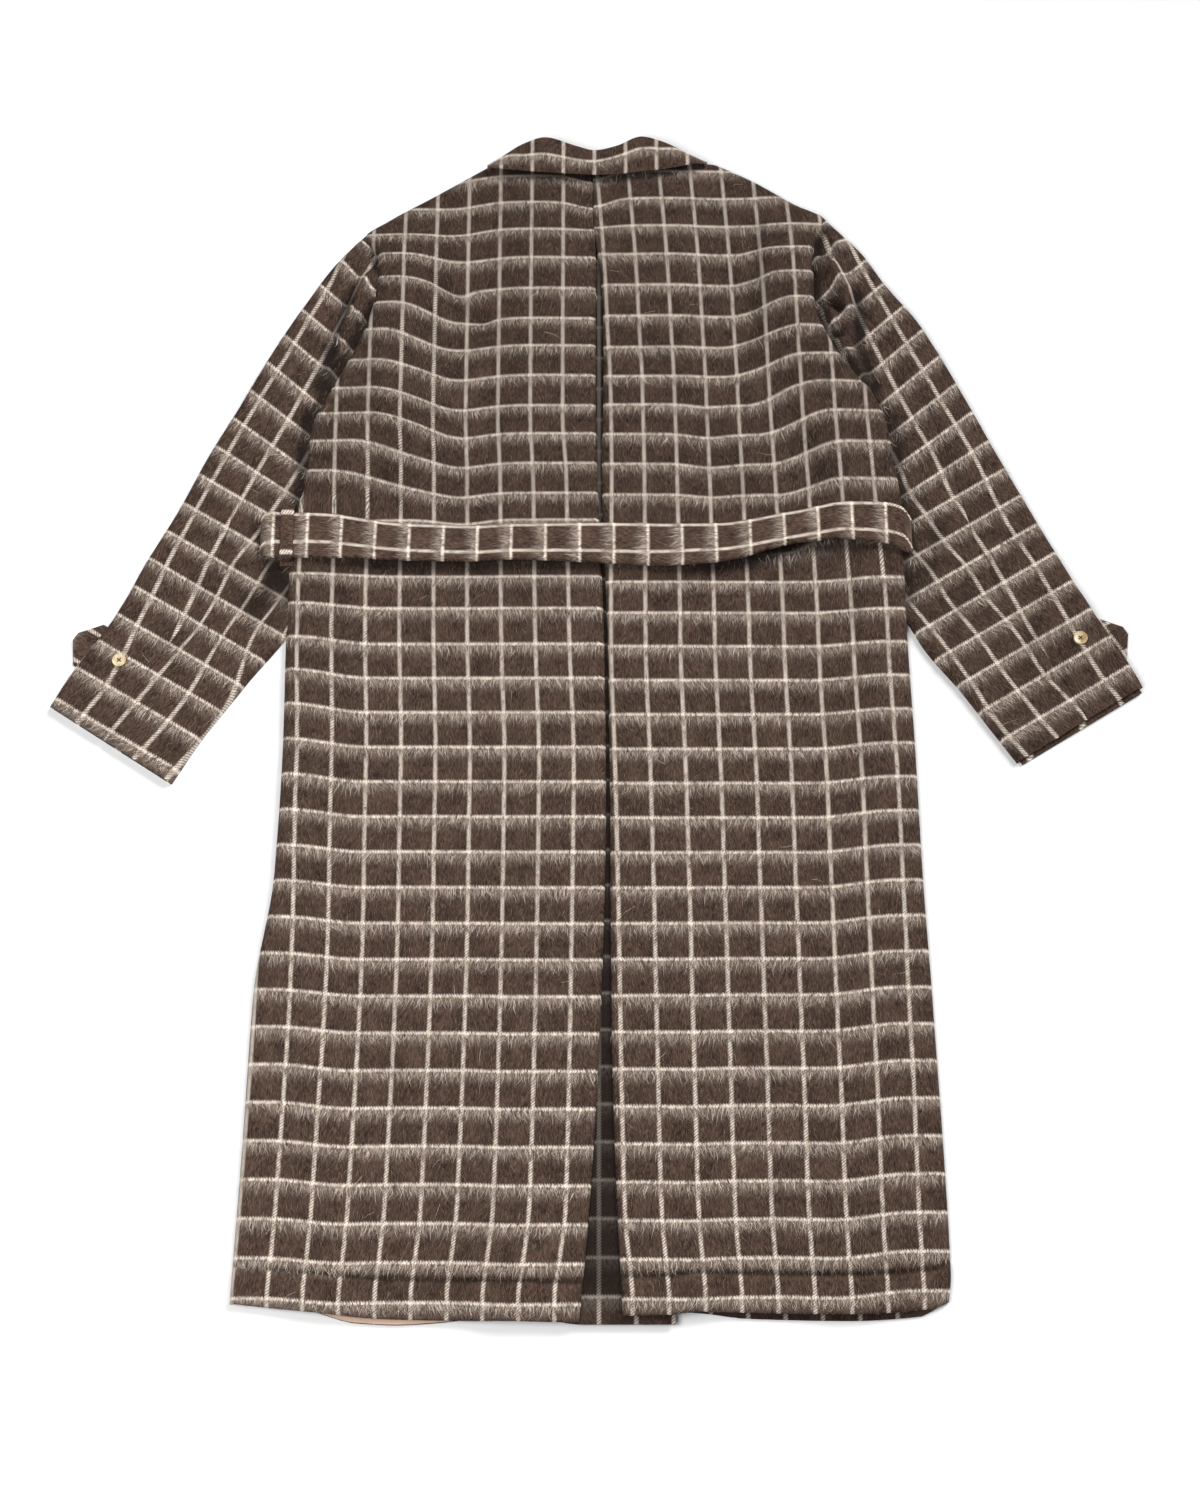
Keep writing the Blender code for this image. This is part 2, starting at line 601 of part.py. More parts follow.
def make_collar():
    """The fall, which rolls over at its top and ends, the stand under it, and the collar's front ends."""
    stations, end_drop = end_stations(COLLAR["x"], COLLAR_STATION, ROLL)
    lower = smooth(stations, COLLAR["x"], COLLAR["lower"])
    roll = smooth(stations, COLLAR["x"], COLLAR["roll"])
    backs = ["back_left", "back_right"]
    angles = np.radians(ROLL_ANGLES[::-1])
    rows = []
    for x, low, high, ended in zip(stations, lower, roll, end_drop):
        base = max(height_on(backs, x, low + step, COLLAR_REACH) for step in COLLAR_PROBES) + GAP
        width = high - low
        curve = min(roll_for(base), COLLAR_ROLL_SHARE * width)
        flat = np.linspace(0, width - curve, COLLAR_FLAT_ROWS)[:-1]
        across = np.concatenate([flat, width - curve * (1 - np.cos(angles))])
        drop = np.concatenate([0 * flat, 1 - np.sin(angles)])
        fullness = min(1, width / COLLAR_FULL_WIDTH)
        top = base + CLOTH + fullness * COLLAR_CREST * ease(across / (COLLAR_CREST_FROM * width))
        foot = np.where(drop > 0, COLLAR_FOOT, base + FOOT)
        z = foot + (top - foot) * (1 - drop)
        z = z - ended * (z - np.minimum(z, base + FOOT))
        rows.append(np.stack([np.full(across.shape, x), low + across, z], -1))
    wall("collar_fall", np.array(rows), coating)
    inside = stations[np.abs(stations) < STAND_HALF]
    high = smooth(inside, COLLAR["x"], COLLAR["roll"]) - 2 * CLOTH
    neck = np.full(inside.shape, BODY_EDGE["right"]["y"][-1] + SIDE_CLEARANCE)
    level = np.full(inside.shape, 2 * CLOTH + GAP)
    rows = [np.stack([inside, neck, level], -1), np.stack([inside, high, level], -1)]
    flat_wall("collar_stand", np.array(rows), coating)
    for side, sign in SIDES.items():
        x = np.linspace(COLLAR_END_GAP, STAND_HALF, COLLAR_END_COLUMNS)
        neck = np.interp(x, NECK["x"], NECK["y"]) + 2 * SIDE_CLEARANCE
        high = smooth(sign * x, COLLAR["x"], COLLAR["roll"]) - 2 * CLOTH
        level = np.full(x.shape, CLOTH)
        rows = [np.stack([sign * x, neck, level], -1), np.stack([sign * x, high, level], -1)]
        flat_wall("collar_end_" + side, np.array(rows), coating)


def make_belt():
    """The doubled belt on the back, its ends turned under past the sides."""
    carriers = [name + side for side in SIDES for name in ("back_", "top_sleeve_", "under_sleeve_")]
    stations, end_drop = end_stations(BELT["x"], BELT_STATION, BELT_WALL)
    middle = smooth(stations, BELT["x"], BELT["middle"])
    width = smooth(stations, BELT["x"], BELT["width"])
    shares = BELT_SECTION["across"] / 2
    top, bottom = [], []
    for x, y, wide, ended in zip(stations, middle, width, end_drop):
        under = np.array([height_on(carriers, x, y + share * wide, BELT_REACH) for share in shares]) + GAP
        under = np.maximum(under, under.max() - BELT_SLACK)
        thick = BELT_WALL * BELT_SECTION["full"] * (1 - BELT_END_THIN * ended)
        bottom.append([(x, y + share * wide, z) for share, z in zip(shares, under)])
        top.append([(x, y + share * wide, z) for share, z in zip(shares, under + thick)])
    remember_surface(solid("belt", np.array(top), np.array(bottom), coating))


def make_belt_loop():
    """The narrow loop at the left side that the belt passes through."""
    carriers = ["belt", "back_left", "top_sleeve_left", "under_sleeve_left"]
    middle = float(smooth(np.array(LOOP_X), BELT["x"], BELT["middle"]))
    reach = float(smooth(np.array(LOOP_X), BELT["x"], BELT["width"])) / 2 + LOOP_FOOT
    rows = []
    for y in np.linspace(middle - reach, middle + reach, LOOP_ROWS):
        xs = LOOP_X + LOOP_WIDTH / 2 * np.array([-1, 0, 1])
        z = max(height_on(carriers, x, y, LOOP_REACH) for x in xs) + GAP
        rows.append([(x, y, z + LOOP_WALL) for x in xs])
    flat_wall("belt_loop", np.array(rows), coating, LOOP_WALL)


for leftover in list(bpy.data.objects):
    bpy.data.objects.remove(leftover)
surfaces = {}
coat = bpy.data.objects.new("coat", None)
bpy.context.scene.collection.objects.link(coat)
coating = finish_material("brushed_check_coating", COATING, 0.95)
coating_in_shade = finish_material("coating_in_the_pleat", COATING_IN_SHADE, 0.95)
lining_cloth = finish_material("tan_lining", TAN_LINING, 0.55)
horn = finish_material("pale_horn", PALE_HORN, 0.35)

for side_name in SIDES:
    make_back(side_name)
    make_front(side_name)
    make_sleeve(side_name)
    make_cuff_strap(side_name)
    make_button(side_name)
make_underlay()
make_lining()
make_collar()
make_belt()
make_belt_loop()
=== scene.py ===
# %% [markdown]
# # A checked overcoat, laid out on its front
# This lesson dresses a plain model of an overcoat. The plain model is a set of thin solids, one for
# each piece that a tailor cuts. Here every one of them gets its cloth: a brushed wool with pale lines,
# creases, a long nap, and the small sewing that shows. All sizes are in millimetres on the coat as it
# lies: x runs across the back, y from the hem to the collar and z up from the floor.

import math

import bmesh
import bpy
import numpy as np
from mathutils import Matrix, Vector
from mathutils.bvhtree import BVHTree


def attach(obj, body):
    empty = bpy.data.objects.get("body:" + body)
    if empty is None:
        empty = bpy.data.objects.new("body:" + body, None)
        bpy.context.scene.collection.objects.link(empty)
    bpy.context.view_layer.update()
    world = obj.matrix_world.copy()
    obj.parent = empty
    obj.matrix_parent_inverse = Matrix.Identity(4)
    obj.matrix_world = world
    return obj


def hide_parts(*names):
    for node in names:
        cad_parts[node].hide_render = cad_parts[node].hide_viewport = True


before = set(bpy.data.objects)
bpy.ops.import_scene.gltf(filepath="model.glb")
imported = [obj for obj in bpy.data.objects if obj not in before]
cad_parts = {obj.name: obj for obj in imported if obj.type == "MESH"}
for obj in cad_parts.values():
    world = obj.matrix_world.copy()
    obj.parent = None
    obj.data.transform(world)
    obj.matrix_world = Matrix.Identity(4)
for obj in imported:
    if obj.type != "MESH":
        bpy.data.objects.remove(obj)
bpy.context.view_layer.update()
bpy.ops.object.select_all(action="DESELECT")

METRE = 0.001
SIDES = {"left": -1, "right": 1}
print("pieces in the plain model:", len(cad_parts))

# %% [markdown]
# ## Camera, floor and light
# The coat was photographed from above its hem, with the camera tipped a little off straight down.
# The check gives the tip away: its lines draw together towards the collar. A long lens keeps that
# gentle. The floor is plain and pale. One large lamp stands far off at the upper right, so soft shadows
# fall to the left of the coat and below it. A weaker one hangs above the lower left, and a pale sky
# fills in.

# %% Camera, floor and light
LOOK_AT = Vector((0.003, -0.071, 0.0))
CAMERA_DISTANCE = 2.5
CAMERA_TILT = math.radians(19)
LENS = 60
SENSOR_WIDTH = 36
SKY_STRENGTH = 0.17
LAMPS = {
    "window": {"watts": 3000, "size": 7.0, "place": Vector((9.0, 8.1, 10.8))},
    "ceiling": {"watts": 47, "size": 1.2, "place": Vector((-0.80, -0.75, 1.95))},
}
FLOOR_HALF = 6.0
FLOOR_COLOUR = (0.73, 0.73, 0.73, 1)

camera_data = bpy.data.cameras.new("camera")
camera_data.lens = LENS
camera_data.sensor_width = SENSOR_WIDTH
camera = bpy.data.objects.new("camera", camera_data)
camera.location = LOOK_AT + CAMERA_DISTANCE * Vector((0, -math.sin(CAMERA_TILT), math.cos(CAMERA_TILT)))
camera.rotation_euler = (CAMERA_TILT, 0, 0)
bpy.context.scene.collection.objects.link(camera)
bpy.context.scene.camera = camera
bpy.context.scene.view_settings.view_transform = "Standard"

for lamp_name, lamp in LAMPS.items():
    lamp_data = bpy.data.lights.new(lamp_name, "AREA")
    lamp_data.energy = lamp["watts"]
    lamp_data.size = lamp["size"]
    lamp_object = bpy.data.objects.new(lamp_name, lamp_data)
    lamp_object.location = lamp["place"]
    lamp_object.rotation_euler = (LOOK_AT - lamp["place"]).to_track_quat("-Z", "Y").to_euler()
    bpy.context.scene.collection.objects.link(lamp_object)

sky = bpy.data.worlds.new("sky")
sky.use_nodes = True
sky.node_tree.nodes["Background"].inputs["Color"].default_value = (1, 1, 1, 1)
sky.node_tree.nodes["Background"].inputs["Strength"].default_value = SKY_STRENGTH
bpy.context.scene.world = sky

bpy.ops.mesh.primitive_plane_add(size=2 * FLOOR_HALF, location=(0, 0, 0))
floor = bpy.context.object
floor.name = "floor"
floor_paper = bpy.data.materials.new("white_paper")
floor_paper.use_nodes = True
floor_shader = floor_paper.node_tree.nodes["Principled BSDF"]
floor_shader.inputs["Base Color"].default_value = FLOOR_COLOUR
floor_shader.inputs["Roughness"].default_value = 0.9
floor.data.materials.append(floor_paper)
bpy.ops.object.select_all(action="DESELECT")
print("camera at", [round(c, 3) for c in camera.location])

# %% [markdown]
# ## Sums in a material
# A material's pattern is arithmetic on numbers that change over the surface. Writing it with nodes by
# hand is slow to read, so one small class stands for a socket: adding, taking away and multiplying
# values puts the Math nodes in, and every other node comes from one method.

# %% A value in a material
# A Mix node has a socket of each name for every kind of data, so its colours are found by number
MIX_FIRST = 6
MIX_SECOND = 7
MIX_OUT = 2


class Value:
    """One socket of a material. Sums, differences and products of values add Math nodes."""

    def __init__(self, tree, socket):
        self.tree = tree
        self.socket = socket

    def node(self, kind, settings, inputs, output=0):
        """A node of any kind: its settings first, then the values or links of its sockets."""
        made = self.tree.nodes.new(kind)
        for name, setting in settings.items():
            setattr(made, name, setting)
        for name, value in inputs.items():
            if isinstance(value, Value):
                self.tree.links.new(value.socket, made.inputs[name])
            else:
                made.inputs[name].default_value = value
        return Value(self.tree, made.outputs[output])

    def maths(self, operation, first, second):
        return self.node("ShaderNodeMath", {"operation": operation}, {0: first, 1: second})

    def __add__(self, other):
        return self.maths("ADD", self, other)

    def __radd__(self, other):
        return self.maths("ADD", other, self)

    def __sub__(self, other):
        return self.maths("SUBTRACT", self, other)

    def __rsub__(self, other):
        return self.maths("SUBTRACT", other, self)

    def __mul__(self, other):
        return self.maths("MULTIPLY", self, other)

    def __rmul__(self, other):
        return self.maths("MULTIPLY", other, self)

    def __pow__(self, power):
        return self.maths("POWER", self, power)

    def fraction(self):
        return self.maths("FRACT", self, 0.0)

    def size(self):
        return self.maths("ABSOLUTE", self, 0.0)

    def step(self, start, end):
        """A soft step: 0 up to start and 1 from end on, or the other way if start is the larger."""
        settings = {"interpolation_type": "SMOOTHSTEP"}
        inputs = {"Value": self, "From Min": start, "From Max": end, "To Min": 0.0, "To Max": 1.0}
        return self.node("ShaderNodeMapRange", settings, inputs)

    def blend(self, first, second):
        """From the first colour, where this is 0, to the second, where it is 1."""
        settings = {"data_type": "RGBA", "clamp_factor": True}
        inputs = {"Factor": self, MIX_FIRST: first, MIX_SECOND: second}
        return self.node("ShaderNodeMix", settings, inputs, MIX_OUT)

    def noise(self, scale, detail, roughness=0.5):
        """Noise on this vector, stretched by a scale for each direction."""
        stretched = self.node("ShaderNodeMapping", {}, {"Vector": self, "Scale": scale})
        inputs = {"Vector": stretched, "Scale": 1.0, "Detail": detail, "Roughness": roughness}
        return self.node("ShaderNodeTexNoise", {}, inputs)


def start_material(name):
    material = bpy.data.materials.new(name)
    material.use_nodes = True
    shader = material.node_tree.nodes["Principled BSDF"]
    return material, shader, Value(material.node_tree, None)


def feed(shader, socket, value):
    """Sends a value that changes over the surface into one of the shader's sockets."""
    shader.id_data.links.new(value.socket, shader.inputs[socket])


print("materials are ready to be written")

# %% [markdown]
# ## The cloth
# The coating is a brown wool twill with pale lines both ways. The pale lines along the cloth are woven
# and stay crisp, with the twill's slant showing in them. The ones across it have been brushed: their
# upper edge is toothed, and below it the pale fibres are combed down over the brown. A picture of the
# cloth could be wrapped on, but sums stay sharp from near by. Every panel carries a map of its place in
# the cloth, counted in checks, so one material draws them all, whichever way a panel was cut. Its points
# also carry painted shade, in an attribute called crease, for its creases, hollows and shadows, and the
# material paints that shade into the cloth's colour.

# %% The cloth
# The check and its lines, in millimetres
CHECK_ACROSS = 34.6
CHECK_ALONG = 36.0
WOVEN_HALF = 1.9
TWILL_PITCH = 2.9
BRUSHED_TOP = 1.4
BRUSHED_LOW = -0.9
TEETH_PITCH = 2.7
TEETH_HEIGHT = 1.6
COMB_LENGTH = 17.0
# Colours, and the noise that varies them, with its scale across and along a check
GROUND_DARK = (0.010, 0.006, 0.0044, 1)
GROUND_LIGHT = (0.106, 0.0645, 0.047, 1)
PALE_YARN = (0.77, 0.675, 0.58, 1)
# The colour of painted shade, in creases, hollows and shadows
PAINTED_SHADE_DARK = (0.005, 0.003, 0.0022, 1)
LEAN_NOISE = (3.2, 1.8, 1)
FIBRE_NOISE = (30, 6.5, 1)
PATCH_NOISE = (1.7, 1.3, 1)
FIBRE_ROUGHNESS = 0.65
# How far the fibres bend, break up and soften each line, and vary the brown
FIBRE_LEAN = 0.3
LINE_WAVER = 0.08
TEETH_SLANT = 0.5
TOP_SOFT = 1.3
CORE_FADE = 1.6
CORE_FULL = 0.8
CORE_BRIGHT = 1.4
CORE_GAPS = 0.05
COMB_COVER = 0.33
COMB_FADE = 1.5
COMB_CONTRAST = 2.6
COMB_GAPS = 0.55
COMB_FULL = 1.3
WOVEN_RAGGED = 2.6
WOVEN_SOFT = 1.0
WOVEN_BASE = 0.27
WOVEN_TWILL = 0.80
WOVEN_DULL = 0.28
WOVEN_FIBRE = 0.95
TWILL_SLANT = 0.8
TWILL_STEP = (0.1, 0.9)
TONE_FIBRE = 1.25
TONE_PATCH = 0.5
TONE_START = 0.42
TONE_STEP = (0.05, 0.95)
FIBRE_BUMP = {"Strength": 0.6, "Distance": 0.0008}
CLOTH_ROUGHNESS = 0.95
CLOTH_SHINE = 0.15
# Painted light: the belt and its loop get a lighter copy of the same cloth
BELT_PAINTED_LIGHT = 1.3


def checked_cloth(name, shade=1.0):
    """The brushed check, read from a panel's own map; shade scales all its colours, as painted light or
    shade.
    """
    material, shader, start = start_material(name)
    place = start.node("ShaderNodeUVMap", {"uv_map": "cloth"}, {})
    across = place.node("ShaderNodeSeparateXYZ", {}, {"Vector": place}, 0)
    along = place.node("ShaderNodeSeparateXYZ", {}, {"Vector": place}, 1)
    lean = place.noise(LEAN_NOISE, 1.0) - 0.5
    bent = place.node("ShaderNodeCombineXYZ", {}, {"X": across + FIBRE_LEAN * lean, "Y": along})
    fibre = bent.noise(FIBRE_NOISE, 2.0, FIBRE_ROUGHNESS)
    patch = place.noise(PATCH_NOISE, 1.0)

    # The brushed line: a toothed upper edge, a pale core, and fibres combed down below it
    aside = (across.fraction() - 0.5) * CHECK_ACROSS
    above = ((along + LINE_WAVER * (fibre - 0.5)).fraction() - 0.5) * CHECK_ALONG
    tooth = ((aside + above * TEETH_SLANT) * (1.0 / TEETH_PITCH)).fraction()
    jagged = above + ((tooth - 0.5).size() * 2.0 - 0.5) * TEETH_HEIGHT
    top = jagged.step(BRUSHED_TOP + TOP_SOFT, BRUSHED_TOP - TOP_SOFT)
    core = top * above.step(BRUSHED_LOW - CORE_FADE, BRUSHED_LOW + CORE_FULL)
    inputs = {"Value": above, "From Min": -COMB_LENGTH, "From Max": 0.0, "To Min": 0.0, "To Max": 1.0}
    comb = start.node("ShaderNodeMapRange", {"interpolation_type": "LINEAR"}, inputs) ** COMB_FADE
    combed = top * comb * (fibre * COMB_CONTRAST - COMB_GAPS).step(0.0, COMB_FULL) * COMB_COVER

    # The woven line, with the twill's slant in it
    ragged = aside.size() + (fibre - 0.5) * WOVEN_RAGGED
    woven = ragged.step(WOVEN_HALF + WOVEN_SOFT, WOVEN_HALF - WOVEN_SOFT)
    slant = ((aside * TWILL_SLANT - along * CHECK_ALONG) * (1.0 / TWILL_PITCH)).fraction()
    twill = ((slant - 0.5).size() * 2.0).step(*TWILL_STEP)
    woven = woven * (WOVEN_BASE + WOVEN_TWILL * twill) * (WOVEN_DULL + WOVEN_FIBRE * fibre)

    # Both lines on the brown, then painted shade from the crease attribute
    pale = 1.0 - (1.0 - core * (CORE_BRIGHT * fibre - CORE_GAPS)) * (1.0 - woven) * (1.0 - combed)
    tone = (fibre * TONE_FIBRE + patch * TONE_PATCH - TONE_START).step(*TONE_STEP)
    dark = tuple(shade * c for c in GROUND_DARK[:3]) + (1,)
    light = tuple(shade * c for c in GROUND_LIGHT[:3]) + (1,)
    yarn = tuple(shade * c for c in PALE_YARN[:3]) + (1,)
    # Painted shade: the crease attribute blends the cloth's colour towards the colour of painted shade
    crease = start.node("ShaderNodeAttribute", {"attribute_name": "crease"}, {}, 2)
    feed(shader, "Base Color", crease.blend(pale.blend(tone.blend(dark, light), yarn), PAINTED_SHADE_DARK))
    feed(shader, "Normal", start.node("ShaderNodeBump", {}, {**FIBRE_BUMP, "Height": fibre}))
    shader.inputs["Roughness"].default_value = CLOTH_ROUGHNESS
    shader.inputs["Specular IOR Level"].default_value = CLOTH_SHINE
    return material


coating = checked_cloth("brushed_check_coating")
# A copy of the cloth painted lighter for the belt and its loop: painted light
coating_painted_lighter = checked_cloth("coating_painted_lighter_for_belt", BELT_PAINTED_LIGHT)
print("cloth materials:", coating.name, coating_painted_lighter.name)

# %% [markdown]
# ## The tailor's tables
# A garment's outline is a few measured points joined by smooth curves. The same short tables shape the
# plain solids: the body's edge, the pleat, the hems and the sleeves. Repeating them here keeps each
# cloth on its solid, and finer steps between the points leave room for creases.

# %% Tables and smooth curves
def table(columns, *rows):
    """The rows of a table, as one array for each named column."""
    return dict(zip(columns.split(), np.array(rows, float).T))


def fold_table(*rows):
    """Folds or creases: the two ends of each one's middle line, its height and its width."""
    return table("x y to_x to_y height width", *rows)


def smooth(at, knots, values):
    """Values on a smooth curve through the knots that never overshoots them."""
    steps = np.diff(knots)
    rates = np.diff(values) / steps
    slopes = np.concatenate([rates[:1], np.zeros(len(rates) - 1), rates[-1:]])
    both = rates[:-1] * rates[1:]
    total = rates[:-1] + rates[1:]
    slopes[1:-1] = np.where(both > 0, 2 * both / np.where(total == 0, 1, total), 0)
    i = np.clip(np.searchsorted(knots, at, side="right") - 1, 0, len(steps) - 1)
    t = np.clip((at - knots[i]) / steps[i], 0, 1)
    start = (1 + 2 * t) * (1 - t) ** 2 * values[i] + t * (1 - t) ** 2 * steps[i] * slopes[i]
    end = t * t * (3 - 2 * t) * values[i + 1] + t * t * (t - 1) * steps[i] * slopes[i + 1]
    return start + end


def ease(share):
    """A soft step from 0 to 1."""
    t = np.clip(share, 0, 1)
    return t * t * (3 - 2 * t)


def spread(knots, step):
    """The knots, with each stretch between them cut into parts no longer than the step."""
    parts = [np.linspace(a, b, math.ceil((b - a) / step), endpoint=False) for a, b in zip(knots, knots[1:])]
    return np.concatenate(parts + [knots[-1:]])


def away_from(x, y, fold):
    """The distance of places from the middle line of a fold."""
    from_x, from_y, to_x, to_y = fold[:4]
    run_x, run_y = to_x - from_x, to_y - from_y
    along = np.clip(((x - from_x) * run_x + (y - from_y) * run_y) / (run_x**2 + run_y**2), 0, 1)
    return np.hypot(x - from_x - along * run_x, y - from_y - along * run_y)


def lift_of(x, y, fold):
    """How far one fold or crease lifts the cloth: a soft ridge along its middle line."""
    height, width = fold[4:]
    return height * np.exp(-((away_from(x, y, fold) / width) ** 2))


def folds_at(x, y, folds):
    """How far the large soft folds lift the cloth."""
    rise = np.zeros(np.broadcast(x, y).shape)
    for fold in zip(*folds.values()):
        rise = np.maximum(rise, lift_of(x, y, fold))
    return rise


def creases_at(x, y, creases):
    """How far the small creases lift or lower the cloth; they add up where they cross."""
    rise = np.zeros(np.broadcast(x, y).shape)
    for crease in zip(*creases.values()):
        rise = rise + lift_of(x, y, crease)
    return rise


BODY_EDGE = {
    "left": table(
        "y x",
        (-616, -341), (-471, -336), (-321, -332), (-201, -317), (-71, -314), (44, -315.5), (129, -316),
        (192, -310), (215, -303), (245, -301), (280, -299), (317, -284), (345, -270), (398, -246),
        (440, -236), (480, -234), (508, -249), (529, -224), (559, -177), (594, -122),
    ),
    "right": table(
        "y x",
        (-616, 327), (-591, 330), (-321, 324), (-201, 320), (-71, 318), (59, 315), (122, 315.5),
        (192, 315), (246, 308), (280, 304), (305, 297), (332, 284), (362, 259), (409, 237), (432, 231),
        (471, 231), (505, 234), (529, 246), (549, 214), (579, 168), (597, 133),
    ),
}
PLEAT = table(
    "y left right",
    (-635, -18, 25), (-471, -3, 17), (-371, 2, 14.5), (-250, 7, 13.5), (-131, 9, 13), (29, 7.5, 11),
    (109, 5, 8.5), (229, 0, 5), (330, -1.5, 6.5), (420, -1.5, 6), (480, -1.5, 1), (500, -2.2, -1.8),
    (529, -4.2, -3.8), (597, -5.2, -4.8),
)
BACK_HEM = {
    "left": table("x y", (-341, -616), (-266, -624), (-200, -630), (-118, -632), (-15, -634)),
    "right": table("x y", (20, -628), (68, -627), (96, -624), (235, -626), (309, -621), (330, -613)),
}
COLLAR = table(
    "x lower roll line",
    (-119, 588, 597, 0.90), (-104, 585.5, 606, 0.80), (-78, 582, 622, 0.50), (-57, 580.5, 629, 0.47),
    (-22, 578, 618, 0.45), (-3, 577, 613, 0.49), (20, 578, 618, 0.55), (48, 581.5, 630, 0.60),
    (70, 584, 624, 0.66), (100, 590, 609, 1.00), (119, 594, 600, 1.20),
)
BELT = table(
    "x middle width",
    (-345, 157, 38), (-339, 158, 47), (-330, 158, 50), (-297, 158, 50), (-197, 149, 44), (-97, 147, 42),
    (3, 146, 46), (83, 144, 48), (133, 149, 46), (203, 165, 40), (253, 172, 43), (298, 171, 46),
    (314, 165, 50), (323, 159, 38),
)
BELT_LIFT = table(
    "x lift",
    (-345, 0), (-285, 3), (-200, 8), (-50, 7), (40, 3), (115, 9), (190, 11), (250, 7), (330, 0),
)
print("outline tables:", len(BODY_EDGE["left"]["y"]), "and", len(BODY_EDGE["right"]["y"]), "rows")

# %% [markdown]
# ## A sheet of cloth
# A panel could be a plane with a thickness from a modifier. Its edges roll down to the floor, though,
# and its pattern has to follow the weave, so each panel is made as two grids of points, its face and
# its back, joined round the rim. The face's place in the cloth goes into a UV map, and the shade painted
# into its colour, in creases and shadows, into an attribute of its points.

# %% A sheet of cloth from a grid
CLOTH = 3.0
GAP = 0.4
SHARP_EDGE = math.radians(55)
panels = {}


def outward_normals(grid):
    along = np.gradient(grid, axis=0)
    across = np.gradient(grid, axis=1)
    normals = np.cross(along, across)
    normals /= np.linalg.norm(normals, axis=2, keepdims=True)
    return normals * np.sign(normals[..., 2].sum())


def sheet_of_cloth(name, face, cloth_map, material, wall=CLOTH, straight_down=False, crease=None):
    """A closed wall of cloth below a grid of points on its face, with its place in the weave."""
    crease = np.zeros(face.shape[:2]) if crease is None else crease
    rows, columns = face.shape[:2]
    down = np.array([0, 0, 1.0]) if straight_down else outward_normals(face)
    points = np.concatenate([face.reshape(-1, 3), (face - wall * down).reshape(-1, 3)])
    front = np.arange(rows * columns).reshape(rows, columns)
    quads = np.stack([front[:-1, :-1], front[:-1, 1:], front[1:, 1:], front[1:, :-1]], -1).reshape(-1, 4)
    edge_a = face[0, 1] - face[0, 0]
    edge_b = face[1, 0] - face[0, 0]
    if np.cross(edge_a, edge_b)[2] < 0:
        quads = quads[:, ::-1]
    rim = np.concatenate([front[0, :-1], front[:-1, -1], front[-1, :0:-1], front[:0:-1, 0]])
    following = np.roll(rim, -1)
    if np.cross(edge_a, edge_b)[2] < 0:
        rim, following = following, rim
    behind = rows * columns
    walls = np.stack([following, rim, rim + behind, following + behind], -1)
    faces = np.concatenate([quads, quads[:, ::-1] + behind, walls])
    mesh = bpy.data.meshes.new(name)
    mesh.from_pydata((points * METRE).tolist(), [], faces.tolist())
    layer = mesh.uv_layers.new(name="cloth")
    corners = faces.reshape(-1) % behind
    layer.data.foreach_set("uv", cloth_map.reshape(-1, 2)[corners].astype(np.float32).ravel())
    # The crease attribute carries the panel's painted shade to its material
    depth = np.tile(crease.ravel(), 2).astype(np.float32)
    mesh.attributes.new("crease", "FLOAT", "POINT").data.foreach_set("value", depth)
    mesh.shade_smooth()
    mesh.set_sharp_from_angle(angle=SHARP_EDGE)
    mesh.materials.append(material)
    piece = bpy.data.objects.new(name, mesh)
    bpy.context.scene.collection.objects.link(piece)
    panels[name] = {"face": face, "map": cloth_map, "crease": crease, "piece": piece}
    print(name, "has", 2 * len(faces), "triangles")
    return piece


ROLL = 6.0
ROLL_SHARE = 0.3
PLEAT_ROLL = 5.0
SEWN_ROLL = 1.0
SEAM_DIP = 1.6
PLEAT_OPENS = 505.0
FOOT = 1.2
ROLL_ANGLES = np.radians([0, 12, 25, 38, 51, 64, 77, 90])


def rolled_edge(roll):
    """Points from a rolled edge inwards: their distance from it, and how far each has rolled over."""
    return roll * (1 - np.cos(ROLL_ANGLES)), 1 - np.sin(ROLL_ANGLES)


def across_section(near_roll, stops, far_roll):
    """Distances across a section from one rolled edge to the other, and how far each has rolled over."""
    near, near_drop = rolled_edge(near_roll)
    far, far_drop = rolled_edge(far_roll)
    flat = np.concatenate([np.linspace(*stop) for stop in stops])
    plain = np.zeros(len(flat))
    width = stops[-1][1] + far_roll
    across = np.concatenate([near[:-1], flat, width - far[-2::-1]])
    near_drop = np.concatenate([near_drop[:-1], plain, 0 * far[:-1]])
    far_drop = np.concatenate([0 * near[:-1], plain, far_drop[-2::-1]])
    return across, near_drop, far_drop


def roll_for(drop):
    """The radius that lets a wall of cloth roll down this far without creasing."""
    return max(ROLL, 2 * math.sqrt(drop))


print("steps round a rolled edge:", len(ROLL_ANGLES))

# %% [markdown]
# ## How the back lies
# The back rests on the fronts and on the pleat's underlay, so it is higher along the middle. Large soft
# folds run from the shoulders to the belt and down the sides, and small creases are laid over them: a
# drag line from each shoulder blade, puckers above and below the belt, and dents along the hem.
# A cloth simulation could settle the coat, but it wouldn't put its folds where these are.

# %% How the back lies
CENTRE_X = 3.0
LOFT = 2.4
UNDERLAY_HALF = 70.0
UNDERLAY_TOP = 525.0
LAYER_EASE = 45.0
LAYER_MARGIN = 10.0
UNDERARM_Y = 192.0
SHOULDER_END_Y = {"left": 508.0, "right": 529.0}
ARMHOLE_EASE = 16.0

